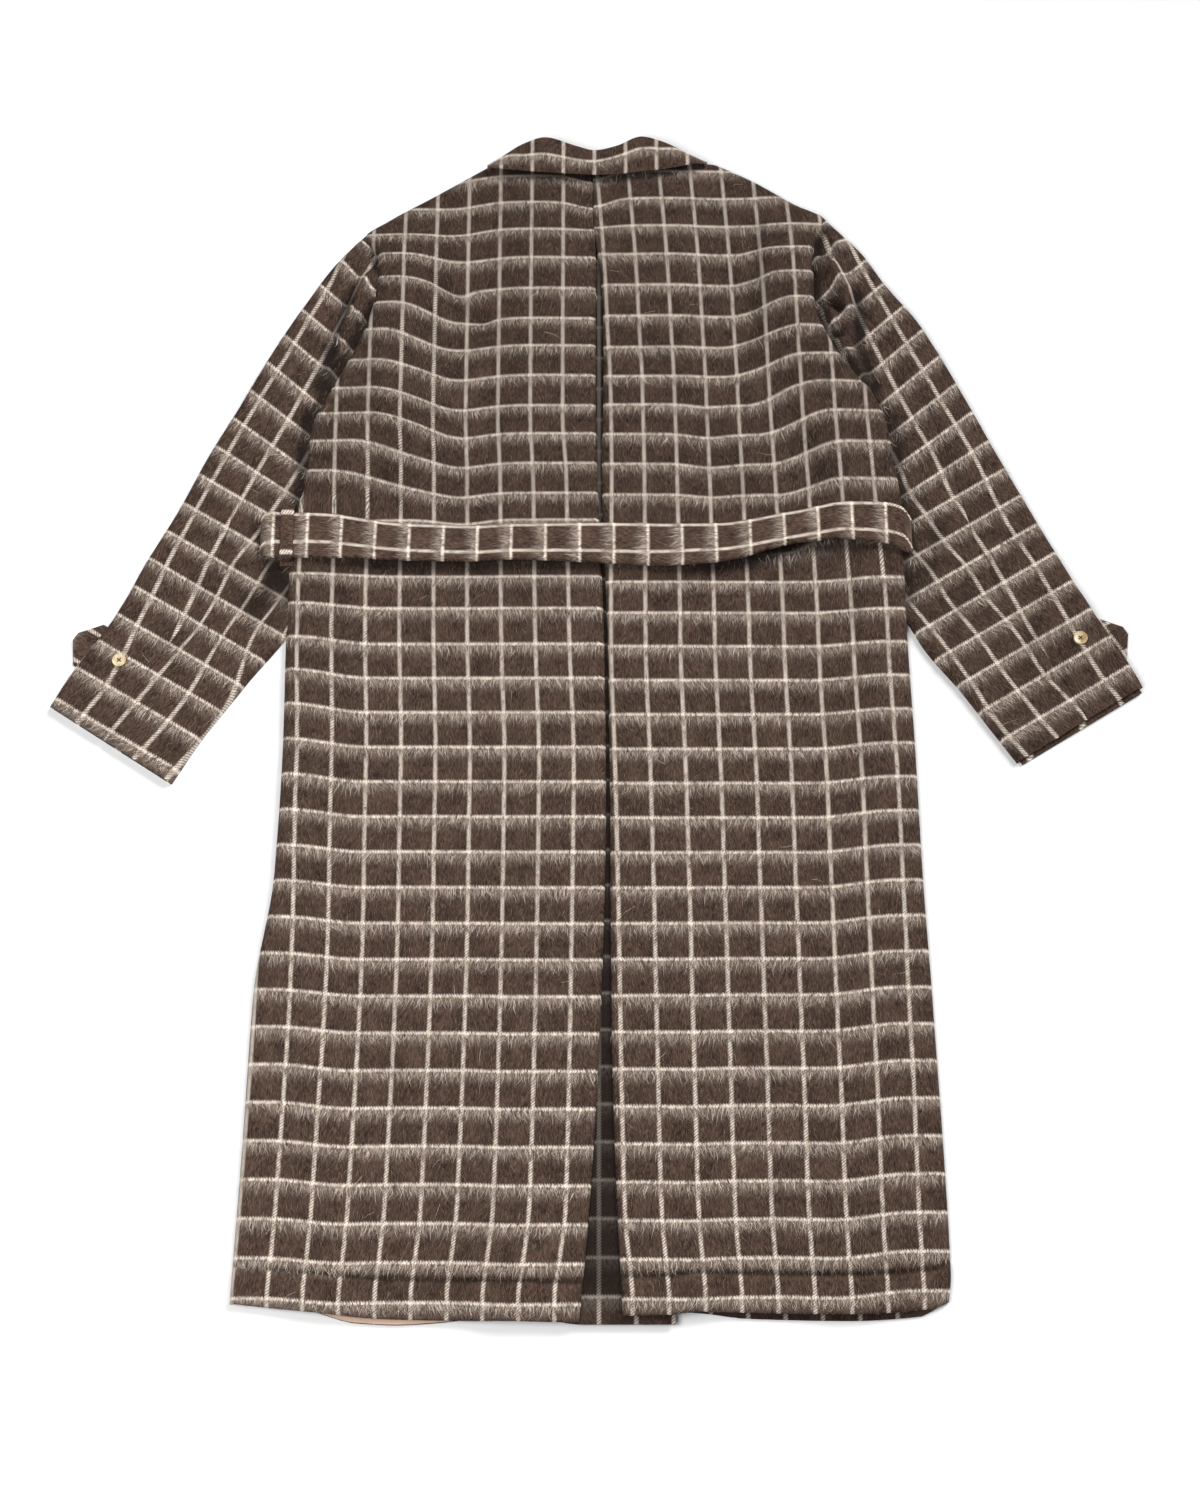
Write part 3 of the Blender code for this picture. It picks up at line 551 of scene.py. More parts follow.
BACK_FOLDS = fold_table(
    (-205, 480, -212, 300, 13, 40), (-236, 300, -262, 225, 7, 30), (-60, 470, -58, 330, 3, 34),
    (212, 500, 205, 410, 12, 34), (238, 370, 262, 225, 9, 34), (75, 480, 80, 300, 3, 36),
    (-262, 215, -120, 205, 4, 18), (120, 212, 270, 222, 4, 18), (-292, 90, -306, -300, 6, 20),
    (-236, 100, -240, -180, 4, 22), (285, 100, 290, -260, 5, 22), (160, 80, 165, -120, 3, 30),
    (-120, 60, -125, -200, 3, 30), (-250, -420, -255, -600, 5, 36), (240, -430, 238, -600, 5, 40),
    (-95, -380, -95, -600, 3, 34), (100, -400, 100, -600, 3, 34),
)
BACK_CREASES = fold_table(
    (-168, 455, -120, 402, -3.2, 9), (-150, 470, -104, 420, 1.8, 9), (-178, 405, -150, 330, -1.6, 11),
    (172, 520, 166, 380, -3.0, 9), (158, 500, 152, 400, 1.4, 10), (188, 350, 205, 270, -1.8, 11),
    (-90, 365, -30, 352, -1.0, 8), (40, 395, 110, 300, -1.1, 10), (-226, 250, -205, 190, -2.2, 8),
    (-150, 240, -140, 185, -1.6, 8), (-70, 225, -75, 180, -1.4, 8), (60, 230, 58, 178, -1.3, 8),
    (140, 250, 150, 200, -1.6, 8), (222, 260, 232, 205, -2.2, 9), (-270, 130, -262, 70, -2.4, 8),
    (-180, 118, -176, 60, -1.8, 8), (-60, 112, -64, 50, -1.4, 8), (62, 112, 64, 40, -1.5, 8),
    (180, 128, 184, 60, -1.9, 8), (262, 138, 258, 60, -2.2, 9), (-304, 60, -250, 20, -1.8, 8),
    (-318, -60, -286, -90, -1.4, 8), (-322, -190, -280, -215, -1.3, 9), (296, -60, 262, -92, -1.4, 9),
    (-210, -250, -190, -430, -1.1, 13), (-62, -200, -58, -360, -1.0, 12), (150, -220, 160, -420, -1.1, 13),
    (58, -260, 52, -440, -0.9, 12), (-150, -500, -140, -600, -1.3, 10), (170, -500, 176, -600, -1.3, 10),
)


def in_armhole(y, side):
    """1 along the armhole, where the back's edge lies over the sleeve, easing to 0 past its ends."""
    above = (y - UNDERARM_Y + ARMHOLE_EASE) / ARMHOLE_EASE
    below = (SHOULDER_END_Y[side] - y + ARMHOLE_EASE) / ARMHOLE_EASE
    return ease(above) * ease(below)


def back_underside(x, y):
    """The height of what the back lies on: one front, two where they lap, and the pleat's underlay."""
    middle = ease((UNDERLAY_HALF + LAYER_MARGIN + LAYER_EASE - np.abs(x - CENTRE_X)) / LAYER_EASE)
    underlaid = ease((UNDERLAY_TOP + LAYER_MARGIN + LAYER_EASE - y) / LAYER_EASE)
    return (CLOTH + GAP) * (1 + middle * (1 + underlaid))


def back_top(x, y):
    lowest = back_underside(x, y) + CLOTH
    shape = folds_at(x, y, BACK_FOLDS) + creases_at(x, y, BACK_CREASES)
    return np.maximum(lowest, lowest + LOFT + shape)


print("folds on the back:", len(BACK_FOLDS["x"]), "and creases:", len(BACK_CREASES["x"]))

# %% [markdown]
# ## Where the check falls on the back
# The two backs were cut to match, so their lines meet at the centre. Lying down, the cloth is dragged:
# lines climb towards each shoulder, dip at a drag crease, and lift again at the side seams. A few rows
# say where the first line along each panel runs and how far apart its lines are, and a few more say how
# far the lines across are pushed up. Places are as the camera sees them, so height leans them upwards,
# and they are taken before the edges roll over, so lines run on round a roll.

# %% Where the check falls on the back
LEAN = 0.344
LINE_MIDDLE = 0.5
FOLD_NEARS = 0.6
FOLD_LIMIT = 0.25
WARP_LINES = {
    "left": table(
        "y first pitch",
        (-600, -39, 33.3), (-520, -29, 34.0), (-300, -25, 33.8), (-90, -23, 34.4), (50, -28, 34.4),
        (230, -32, 34.2), (300, -36, 33.8), (600, -36.5, 33.8),
    ),
    "right": table(
        "y first pitch",
        (-600, 33, 33.8), (-520, 26, 34.5), (-370, 23, 34.8), (-230, 21, 34.8), (-90, 18, 35),
        (50, 14, 35), (230, 15, 33.8), (330, 14, 33.3), (400, 11, 33.4), (470, 8, 33.5), (600, -1, 33.6),
    ),
}
WEFT_LINES = {
    "left": table(
        "y line",
        (-648, -33), (-612, -32), (-68, -17), (42, -14), (81, -13), (116, -12), (179, -10), (209, -9),
        (243, -8), (277, -7), (309, -6), (344, -5), (379, -4), (411, -3), (447, -2), (484, -1), (519, 0),
        (552, 1), (585, 2), (618, 3),
    ),
    "right": table(
        "y line",
        (-643, -33), (-607, -32), (-70, -17), (76, -13), (110, -12), (172, -10), (207, -9), (242, -8),
        (276, -7), (310, -6), (343, -5), (377, -4), (414, -3), (451, -2), (488, -1), (523, 0), (557, 1),
        (591, 2), (625, 3),
    ),
}
SIDE_LIFT = {
    "left": table(
        "y lift start width",
        (-600, 4, 230, 80), (-270, 7, 230, 80), (-130, 8, 230, 80), (0, 10, 230, 80), (118, 4, 215, 80),
        (179, -2, 190, 90), (209, 23, 150, 150), (243, 26, 140, 140), (277, 26, 140, 110), (309, 23, 150, 90),
        (344, 20, 150, 90), (379, 18, 155, 80), (411, 20, 145, 80), (447, 16, 140, 70), (484, 6, 155, 65),
        (519, -8, 100, 60), (600, -8, 100, 60),
    ),
    "right": table(
        "y lift start width",
        (-600, 6, 215, 80), (-200, 8, 215, 80), (0, 6, 215, 80), (110, 5, 212, 80), (172, 26, 150, 110),
        (207, 17, 185, 70), (242, 21, 175, 80), (276, 27, 165, 90), (310, 28, 155, 90), (343, 28, 130, 105),
        (377, 27, 130, 85), (414, 26, 142, 75), (451, 20, 142, 65), (488, 11, 150, 35), (523, 2, 150, 40),
        (600, 2, 150, 40),
    ),
}
VALLEYS = {
    "left": fold_table(
        (-146, 484, -140, 180, -5, 28), (-4, 590, -4, 548, -9, 24), (-160, 455, -120, 410, -4, 11),
    ),
    "right": fold_table((112, 290, 118, 220, -4, 26), (-4, 590, -4, 548, -11, 24)),
}


def back_check(face, side):
    """The place in the cloth of points on a back, in checks across and along."""
    x, y = face[..., 0], face[..., 1] + LEAN * face[..., 2]
    lines = WARP_LINES[side]
    across = (x - smooth(y, lines["y"], lines["first"])) / smooth(y, lines["y"], lines["pitch"])
    inward = -SIDES[side] * across
    slowed = FOLD_NEARS + FOLD_LIMIT * np.tanh((inward - FOLD_NEARS) / FOLD_LIMIT)
    across = -SIDES[side] * np.where(inward > FOLD_NEARS, slowed, inward)
    lift = SIDE_LIFT[side]
    rise, start, width = (smooth(y, lift["y"], lift[name]) for name in ("lift", "start", "width"))
    raised = rise * ease((np.abs(x) - start) / width)
    pushed = y - raised - creases_at(x, y, VALLEYS[side])
    rows = WEFT_LINES[side]
    along = np.interp(pushed, rows["y"], rows["line"])
    return np.stack([across + LINE_MIDDLE, along + LINE_MIDDLE], -1)


print("check lines placed on", list(WARP_LINES))

# %% [markdown]
# ## The two backs
# Each back is a grid that runs from the pleat's fold to the side. At the pleat and at the side its edge
# rolls down, because cloth bends in a curve. The hem is turned up on the inside, which shows as a thicker
# band with a soft groove above it. Shade is painted into the cloth's colour: in its creases and the hem's
# groove, as shadow under the edges of the collar and the belt, and a little all over above the belt,
# where less light falls.

# %% The two backs
BACK_STEP = 5.0
BACK_COLUMNS = 66
HEM_BLEND = 190.0
HEM_DEPTH = 36.0
HEM_GROOVE = 4.2
HEM_GROOVE_WIDTH = 2.4
HEM_THICK = 1.8
HEM_THICK_EASE = 4.0
HEM_ROLL = 5.0
HEM_DROP = 2.4
HEM_ROWS = (0.0, 0.5, 1.4, 2.7)
# Painted shade: in the hem's groove, the collar's and belt's shadows, creases, and the dimmer upper back
GROOVE_SHADE = 0.6
GROOVE_FLOOR = 2.0
COLLAR_SHADE = 0.85
COLLAR_SHADE_REACH = 5.0
COLLAR_ENDS = 112.0
COLLAR_SHADE_EASE = 20.0
BELT_SHADE = 0.09
BELT_SHADE_REACH = 13.0
BELT_SHADE_TOP = 20.0
UPPER_SHADE = 0.18
UPPER_SHADE_START = 120.0
UPPER_SHADE_EASE = 110.0
STEEPEST_SLANT = 2.2
BACK_CREASE_DEPTH = 9.0
BACK_PAINTED_SHADE_MOST = 0.4
GROOVE_ROWS = (30.0, 33.0, 34.5, 36.0, 37.5, 39.0, 42.0)


def hem_form(above_hem):
    """The height of the turned-up hem: its rounded edge, its thickness and the groove above it."""
    edge = np.clip(1 - above_hem / HEM_ROLL, 0, 1)
    rounding = HEM_DROP * (1 - np.sqrt(1 - edge**2))
    groove = HEM_GROOVE * np.exp(-(((above_hem - HEM_DEPTH) / HEM_GROOVE_WIDTH) ** 2))
    return HEM_THICK * ease((HEM_DEPTH - above_hem) / HEM_THICK_EASE) - rounding - groove


def belt_shade(x, y):
    """Painted shadow of the belt on the back, under and just below it, where the belt stands off it."""
    lower = smooth(x, BELT["x"], BELT["middle"] - BELT["width"] / 2)
    shade = BELT_SHADE * smooth(x, BELT_LIFT["x"], BELT_LIFT["lift"])
    fading = np.exp(-((np.maximum(lower - y, 0) / BELT_SHADE_REACH) ** 2))
    return shade * fading * (y < lower + BELT_SHADE_TOP)


def back_shade(x, y, hem_y):
    """Painted shade on a row of the back: in creases, the hem's groove, and the collar's and belt's shadows.
    """
    crease_shade = -creases_at(x, np.full(x.shape, y), BACK_CREASES) / BACK_CREASE_DEPTH
    groove = GROOVE_SHADE * math.exp(-(((y - hem_y - HEM_DEPTH) / HEM_GROOVE_WIDTH) ** 2))
    # Painted shadow under the collar's lower edge, which stands off the back
    beyond = smooth(x, COLLAR["x"], COLLAR["lower"]) - y
    beside = COLLAR_SHADE * ease((COLLAR_ENDS - np.abs(x)) / COLLAR_SHADE_EASE)
    below = beside * np.exp(-((np.maximum(beyond, 0) / COLLAR_SHADE_REACH) ** 2))
    shade = np.maximum(np.clip(crease_shade, 0, BACK_PAINTED_SHADE_MOST), np.maximum(groove, below))
    shade = np.maximum(shade, belt_shade(x, y))
    # Painted shade over the whole upper back, where less light falls
    upper = UPPER_SHADE * float(ease((y - UPPER_SHADE_START) / UPPER_SHADE_EASE))
    return upper + (1 - upper) * shade


def edge_slant(ys, edge_x):
    """How much longer an edge is than its rise, where it runs aslant."""
    return np.sqrt(1 + np.gradient(edge_x, ys) ** 2)


def bent_to_hem(x, y, hem, hem_y):
    """Where a row lies once the rows near the hem are bent to the hem's line."""
    line = smooth(x, hem["x"], hem["y"]) - hem_y
    return y + line * ease((hem_y + HEM_BLEND - y) / HEM_BLEND)


def make_back(side):
    sign = SIDES[side]
    edge = BODY_EDGE[side]
    hem_y = edge["y"][0]
    extra = hem_y + np.array(HEM_ROWS + GROOVE_ROWS)
    ys = np.unique(np.concatenate([spread(edge["y"], BACK_STEP), extra]))
    outer_edge = smooth(ys, edge["y"], edge["x"])
    slant = np.minimum(edge_slant(ys, outer_edge), STEEPEST_SLANT)
    pleat = smooth(ys, PLEAT["y"], PLEAT[side])
    rows, unrolled, shade = [], [], []
    for y, outer, inner, slope in zip(ys, outer_edge, pleat, slant):
        foot = FOOT + (CLOTH + GAP) * float(in_armhole(y, side))
        drop = float(back_top(outer, y)) - foot
        roll = min(roll_for(drop) * slope, ROLL_SHARE * abs(outer - inner))
        open_here = float(ease((PLEAT_OPENS - y) / LAYER_EASE))
        fold = SEWN_ROLL + (PLEAT_ROLL - SEWN_ROLL) * open_here
        flat = (fold, abs(outer - inner) - roll, BACK_COLUMNS)
        across, near, far = across_section(fold, [flat], roll)
        x = inner + sign * across
        place_y = bent_to_hem(x, y, BACK_HEM[side], hem_y)
        top = back_top(x, np.full(x.shape, y)) + hem_form(y - hem_y)
        top = np.maximum(top, back_underside(x, y) + GROOVE_FLOOR)
        into_pleat = back_underside(x, y) + FOOT - GAP
        fold_drop = SEAM_DIP + open_here * (top - into_pleat - SEAM_DIP)
        z = top - near * fold_drop - far * (top - foot)
        rows.append(np.stack([x, place_y, z], -1))
        unrolled.append(np.stack([x, place_y, top], -1))
        shade.append(back_shade(x, y, hem_y))
    check = back_check(np.array(unrolled), side)
    name = "cloth_back_" + side
    return sheet_of_cloth(name, np.array(rows), check, coating, crease=np.array(shade))


for side_name in SIDES:
    make_back(side_name)

# %% [markdown]
# ## What lies beneath the back
# The pleat's underlay, the two fronts and a strip of lining are flat and mostly hidden, so each is a plain
# sheet without creases or nap. The underlay and the fronts carry the check, darkened because they lie in
# shade. The lining is a plain twill. The right front laps the left one with a short ramp, as it does when
# a coat is buttoned and turned over.

# %% Underlay, fronts and lining
UNDERLAY_HEM = -635.0
UNDERLAY_RISE = 10.0
UNDERLAY_RISE_X = -12.0
# Painted shade: the underlay and the fronts lie in the back's shade, darkest deep in the pleat
PLEAT_SHADE = 0.86
PLEAT_HEM_SHADE = 0.45
PLEAT_SHADE_FADE = 28.0
PLEAT_SHADE_START = 8.0
FRONT_SHADE = 0.5
HIDDEN_LINES = (2.0, -70.0)
LAP_HALF = 45.0
LAP_RAMP = 24.0
FRONT_INSET = 4.2
LINING_WALL = 1.0
LINING_SPAN = (-264.0, -124.0)
LINING_TOP = -570.0
LINING_RIBS = 1400.0
LINING_NOISE = (60, 60, 60)
LINING_SMOOTHEST = 0.45
LINING_RIB_ROUGH = 0.2
LINING_BUMP = {"Strength": 0.2, "Distance": 0.0002}
LINING_COLUMNS = 40
LINING_ROWS = 9
UNDERLAY_COLUMNS = 29
LINING_DEEP = (0.36, 0.22, 0.15, 1)
LINING_PALE = (0.56, 0.38, 0.27, 1)
FLAT_STEP = 10.0
FRONT_COLUMNS = 36
FRONT_HEM = {
    "left": table(
        "x y",
        (-337, -612), (-266, -622), (-225, -633), (-186, -635), (-148, -633), (-90, -627), (45, -625),
    ),
    "right": table(
        "x y",
        (-45, -622), (60, -622), (96, -624), (140, -629), (235, -631), (300, -627), (326, -612),
    ),
}
NECK = table("y x", (540, -45), (542, 30), (548, 62), (562, 94), (586, 108))


def plain_check(face, shift_across=0.0, shift_along=0.0):
    across = (face[..., 0] - shift_across) / CHECK_ACROSS
    along = (face[..., 1] - shift_along) / CHECK_ALONG
    return np.stack([across + LINE_MIDDLE, along + LINE_MIDDLE], -1)


def make_underlay():
    x = np.linspace(CENTRE_X - UNDERLAY_HALF, CENTRE_X + UNDERLAY_HALF, UNDERLAY_COLUMNS)
    y = spread(np.array([UNDERLAY_HEM, UNDERLAY_TOP]), FLAT_STEP)
    x, y = np.meshgrid(x, y)
    near_hem = ease((UNDERLAY_HEM + HEM_BLEND - y) / HEM_BLEND)
    y = y + UNDERLAY_RISE * ease((UNDERLAY_RISE_X - x) / UNDERLAY_HALF) * near_hem
    face = np.stack([x, y, np.full(x.shape, 3 * CLOTH + 2 * GAP)], -1)
    # Painted shade in the pleat, lighter near the hem
    deeper = ease((y - UNDERLAY_HEM - PLEAT_SHADE_START) / PLEAT_SHADE_FADE)
    shade = PLEAT_HEM_SHADE + (PLEAT_SHADE - PLEAT_HEM_SHADE) * deeper
    check = plain_check(face, *HIDDEN_LINES)
    return sheet_of_cloth("cloth_pleat_underlay", face, check, coating, crease=shade)


def make_front(side):
    sign = SIDES[side]
    edge = BODY_EDGE[side]
    ys = spread(edge["y"], FLAT_STEP)
    outer_edge = smooth(ys, edge["y"], edge["x"])
    slant = edge_slant(ys, outer_edge)
    inset = (FRONT_INSET * slant + 2 * CLOTH * (slant - 1)) * (1 - in_armhole(ys, side)) + GAP
    rows_y = np.concatenate([ys[ys < NECK["y"][0]], spread(NECK["y"], FLAT_STEP / 2)])
    outer_x = np.interp(rows_y, ys, outer_edge - sign * inset)
    neck_x = sign * np.interp(rows_y, NECK["y"], NECK["x"])
    hem_y = edge["y"][0]
    rows = []
    for y, outer, inner in zip(rows_y, outer_x, neck_x):
        x = np.linspace(inner, outer, FRONT_COLUMNS)
        place_y = bent_to_hem(x, y, FRONT_HEM[side], hem_y)
        lift = np.zeros(x.shape)
        if side == "right":
            lift = (CLOTH + GAP) * np.clip(1 - (x - LAP_HALF - GAP - CLOTH) / LAP_RAMP, 0, 1)
        rows.append(np.stack([x, place_y, CLOTH + lift], -1))
    face = np.array(rows)
    name = "cloth_front_" + side
    # Painted shade over the whole front
    shade = np.full(face.shape[:2], FRONT_SHADE)
    return sheet_of_cloth(name, face, plain_check(face, *HIDDEN_LINES), coating, CLOTH, True, shade)


def make_lining():
    x = np.linspace(*LINING_SPAN, LINING_COLUMNS)
    hem = smooth(x, FRONT_HEM["left"]["x"], FRONT_HEM["left"]["y"]) + GAP
    shares = np.linspace(0, 1, LINING_ROWS)[:, None]
    y = LINING_TOP + shares * (hem - LINING_TOP)
    z = np.full(y.shape, CLOTH + GAP + LINING_WALL)
    face = np.stack([np.broadcast_to(x, y.shape), y, z], -1)
    return sheet_of_cloth("cloth_lining", face, plain_check(face), lining_cloth, LINING_WALL)


def tan_lining():
    """Plain twill lining: fine slanting ribs, a little sheen."""
    material, shader, start = start_material("tan_lining")
    place = start.node("ShaderNodeTexCoord", {}, {}, 3)
    across = place.node("ShaderNodeSeparateXYZ", {}, {"Vector": place}, 0)
    along = place.node("ShaderNodeSeparateXYZ", {}, {"Vector": place}, 1)
    rib = (((across + along) * LINING_RIBS).fraction() - 0.5).size() * 2.0
    cloud = place.noise(LINING_NOISE, 2.0)
    tone = rib * 0.5 + cloud * 0.5
    feed(shader, "Base Color", tone.blend(LINING_DEEP, LINING_PALE))
    feed(shader, "Roughness", LINING_SMOOTHEST + LINING_RIB_ROUGH * rib)
    feed(shader, "Normal", start.node("ShaderNodeBump", {}, {**LINING_BUMP, "Height": rib}))
    return material


lining_cloth = tan_lining()
make_underlay()
for side_name in SIDES:
    make_front(side_name)
make_lining()

# %% [markdown]
# ## The sleeves
# Each sleeve is flattened: two pieces above that meet at the seam behind the arm, and one beneath. The
# upper grid is worked out once, from edge to edge, and parted at the seam, so the two cloths agree. The
# cloth sinks a little into the seam, and its inner edge is tucked under the body's side. Where it is set
# into the armhole it bunches: short curved ridges with deep creases between them.

# %% How a sleeve lies
SEAM = 0.5
SEAM_SINK = 1.5
SEAM_SINK_WIDTH = 3.0
SLEEVE_STEP = 5.0
SLEEVE_COLUMNS = 16
UNDER_SLEEVE_COLUMNS = 22
INNER_ROLL_SHARE = 0.2
UNDERARM_EASE = 40.0
SIDE_CLEARANCE = 0.6
SLEEVE_TUCK = 16.0
# Painted shade in the sleeves' creases: the crease depth that gives it in full, and its darkest
SLEEVE_CREASE_DEPTH = 5.5
SLEEVE_PAINTED_SHADE_MOST = 0.85
STRAP_WIDTH = 52.0
STRAP_TUCKED = 58.0
STRAP_EASE = 26.0
STRAP_MARGIN = 20.0
SLEEVE = {
    "left": table(
        "outer_x outer_y inner_x inner_y",
        (-249, 511, -234, 503), (-256, 503, -234, 490), (-285, 469, -224, 446), (-310, 429, -233, 398),
        (-344, 369, -262, 334), (-374, 309, -288, 274), (-405, 249, -292, 207), (-432, 189, -294, 146),
        (-463, 129, -306, 69), (-490, 69, -354, -3), (-525, 16, -397, -64), (-549.5, -26, -423, -108),
    ),
    "right": table(
        "outer_x outer_y inner_x inner_y",
        (245, 532, 229, 522), (253, 523, 229, 508), (284, 489, 219, 453), (309, 449, 226, 402),
        (339, 409, 248, 356), (361, 369, 276, 324), (390, 309, 294, 258), (418, 249, 300, 190),
        (447, 189, 298, 117), (477, 129, 326, 45), (508, 69, 368, -12), (533, 26, 396, -53),
        (549.5, -6, 419, -86),
    ),
}
HIND_SEAM = table("along across", (0.0, 0.42), (0.4, 0.40), (0.75, 0.42), (1.0, 0.45))
SLEEVE_FOLDS = {
    "left": fold_table(
        (-310, 400, -352, 320, 4, 20), (-330, 330, -392, 190, 5, 24), (-342, 205, -395, 60, 4, 22),
        (-455, 90, -490, 10, 5, 26),
    ),
    "right": fold_table(
        (300, 430, 330, 380, 4, 20), (340, 350, 405, 190, 5, 24), (352, 200, 402, 60, 4, 22),
        (462, 110, 500, 20, 5, 26),
    ),
}
SLEEVE_HEAD = {
    "left": fold_table(
        (-233, 463, -247, 452, 11, 7), (-247, 452, -257, 428, 11, 7), (-257, 428, -272, 390, 9, 7),
        (-243, 436, -254, 405, 8, 9), (-262, 392, -284, 340, 6, 8), (-256, 492, -270, 470, 5, 12),
    ),
    "right": fold_table(
        (234, 478, 250, 467, 12, 9), (250, 467, 263, 441, 14, 10), (263, 441, 264, 398, 12, 9),
        (239, 418, 250, 412, 11, 6), (250, 412, 249, 398, 9, 6), (252, 380, 264, 362, 12, 8),
        (264, 362, 284, 330, 10, 8), (240, 512, 258, 492, 8, 10),
    ),
}
SLEEVE_CREASES = {
    "left": fold_table(
        (-241, 488, -233, 466, -5, 6), (-235, 430, -248, 399, -5, 6), (-248, 399, -273, 347, -5, 7),
        (-273, 347, -299, 290, -5, 7), (-300, 290, -304, 215, -4, 8),
        (-257, 450, -266, 426, -4, 6), (-266, 426, -281, 371, -4, 8), (-281, 371, -294, 330, -4, 8),
        (-300, 300, -308, 236, -3, 11), (-308, 200, -312, 90, -5, 15), (-350, 170, -334, 120, -2.6, 9),
        (-372, 118, -352, 60, -2.0, 8), (-420, 130, -398, 96, -1.3, 8), (-448, 66, -428, 20, -1.3, 9),
        (-322, 132, -344, 84, -4.5, 12),
    ),
    "right": fold_table(
        (241, 512, 232, 486, -5, 6), (232, 470, 232, 432, -5, 6), (233, 422, 246, 388, -5, 6),
        (248, 380, 284, 330, -5, 7), (286, 330, 306, 275, -5, 7), (306, 275, 312, 205, -4, 8),
        (277, 440, 279, 400, -5, 7), (279, 400, 277, 378, -5, 6), (277, 378, 292, 333, -5, 7),
        (233, 430, 248, 430, -6, 5), (248, 430, 259, 418, -6, 5), (246, 388, 256, 391, -5, 5),
        (234, 486, 246, 481, -5, 5), (302, 300, 312, 240, -3, 11), (312, 200, 314, 90, -5, 15),
        (350, 170, 336, 110, -2.4, 9), (380, 110, 360, 50, -1.8, 8), (424, 150, 404, 110, -1.3, 8),
        (452, 80, 434, 30, -1.3, 9),
    ),
}
CUFF = {
    "left": {
        "strap": (-509, 37), "outward": (-0.84, 0.54), "button": (-480, 18),
        "slip": 0.0, "line": (21.0, 30.0),
    },
    "right": {
        "strap": (516, 44), "outward": (0.85, 0.52), "button": (487, 42),
        "slip": 4.0, "line": (16.0, 8.0),
    },
}


def sleeve_rows(side):
    """Points on the outer and inner edges of a sleeve's sections, and how far along it each one is."""
    rows = SLEEVE[side]
    knots = np.arange(len(rows["outer_x"]), dtype=float)
    reach = np.hypot(np.diff(rows["outer_x"]), np.diff(rows["outer_y"]))
    counts = np.ceil(reach / SLEEVE_STEP).astype(int)
    parts = [np.linspace(k, k + 1, count, endpoint=False) for k, count in zip(knots, counts)]
    at = np.concatenate(parts + [knots[-1:]])
    outer_x, outer_y, inner_x, inner_y = (smooth(at, knots, column) for column in rows.values())
    edge = BODY_EDGE[side]
    beside = SIDES[side] * smooth(inner_y, edge["y"], edge["x"]) - SLEEVE_TUCK
    inner_x = SIDES[side] * np.maximum(SIDES[side] * inner_x, beside)
    return np.stack([outer_x, outer_y], -1), np.stack([inner_x, inner_y], -1), at / knots[-1]


def strap_frame(side):
    """The middle of a cuff strap on the sleeve's edge, and its directions outward and along the sleeve."""
    outward = np.array(CUFF[side]["outward"]) / np.hypot(*CUFF[side]["outward"])
    return np.array(CUFF[side]["strap"], float), outward, np.array([outward[1], -outward[0]])


def over_strap(x, y, side):
    """1 where the sleeve lies on its cuff strap, easing to 0 around it."""
    middle, outward, along = strap_frame(side)
    out = (x - middle[0]) * outward[0] + (y - middle[1]) * outward[1]
    down = (x - middle[0]) * along[0] + (y - middle[1]) * along[1]
    inner_part = ease((out + STRAP_TUCKED + STRAP_MARGIN + STRAP_EASE) / STRAP_EASE)
    return inner_part * ease((STRAP_WIDTH / 2 + STRAP_MARGIN + STRAP_EASE - np.abs(down)) / STRAP_EASE)


def sleeve_top(x, y, side):
    lift = (CLOTH + GAP) * over_strap(x, y, side)
    shape = folds_at(x, y, SLEEVE_FOLDS[side]) + folds_at(x, y, SLEEVE_HEAD[side])
    lowest = 2 * CLOTH + 2 * GAP + lift
    return np.maximum(lowest, lowest + LOFT + shape + creases_at(x, y, SLEEVE_CREASES[side]))


print("sleeve sections:", len(sleeve_rows("left")[2]), "and", len(sleeve_rows("right")[2]))

# %% [markdown]
# ## Where the check falls on the sleeves
# On a sleeve the lines run along and across the arm. The top sleeve's lines follow its outer edge and
# the under sleeve's follow its inner one, so they draw together in a wedge at the seam behind the arm.
# The lines across the arm slope steeply at the shoulder and less towards the cuff, and they slip over
# the ridges where the sleeve's head is bunched.

# %% Where the check falls on the sleeves
TOP_LINE = {
    "left": table(
        "y x",
        (-60, -532), (-34, -514), (-6, -494), (29, -477), (61, -465), (97, -451), (131, -439), (196, -410),
        (261, -380), (324, -349), (382, -319), (450, -286), (510, -258),
    ),
    "right": table(
        "y x",
        (-40, 538), (-16, 523), (1, 510), (42, 488), (67, 476), (99, 461), (129, 447), (187, 416),
        (252, 390), (317, 358), (382, 326), (450, 293), (530, 258),
    ),
}
TOP_PITCH = table("y pitch", (-60, 53), (-10, 48), (40, 42), (80, 41), (540, 41))
UNDER_LINE = {
    "left": table(
        "y x pitch",
        (-110, -534, 50), (-74, -506, 50), (-48, -483, 48), (-21, -462, 46), (9, -440, 40), (40, -418, 33),
        (61, -403, 30), (94, -386, 32), (129, -372, 36), (156, -354, 37), (216, -320, 40), (242, -307, 41),
        (300, -278, 41), (500, -190, 41),
    ),
    "right": table(
        "y x pitch",
        (-90, 532, 47), (-60, 508, 47), (-38, 490, 46), (-18, 473, 43), (9, 450, 39), (39, 433, 40),
        (67, 415, 41), (92, 396, 40), (124, 379, 39), (152, 358, 40), (182, 340, 41), (211, 323, 41),
        (246, 311, 41), (300, 285, 41), (520, 195, 41),
    ),
}
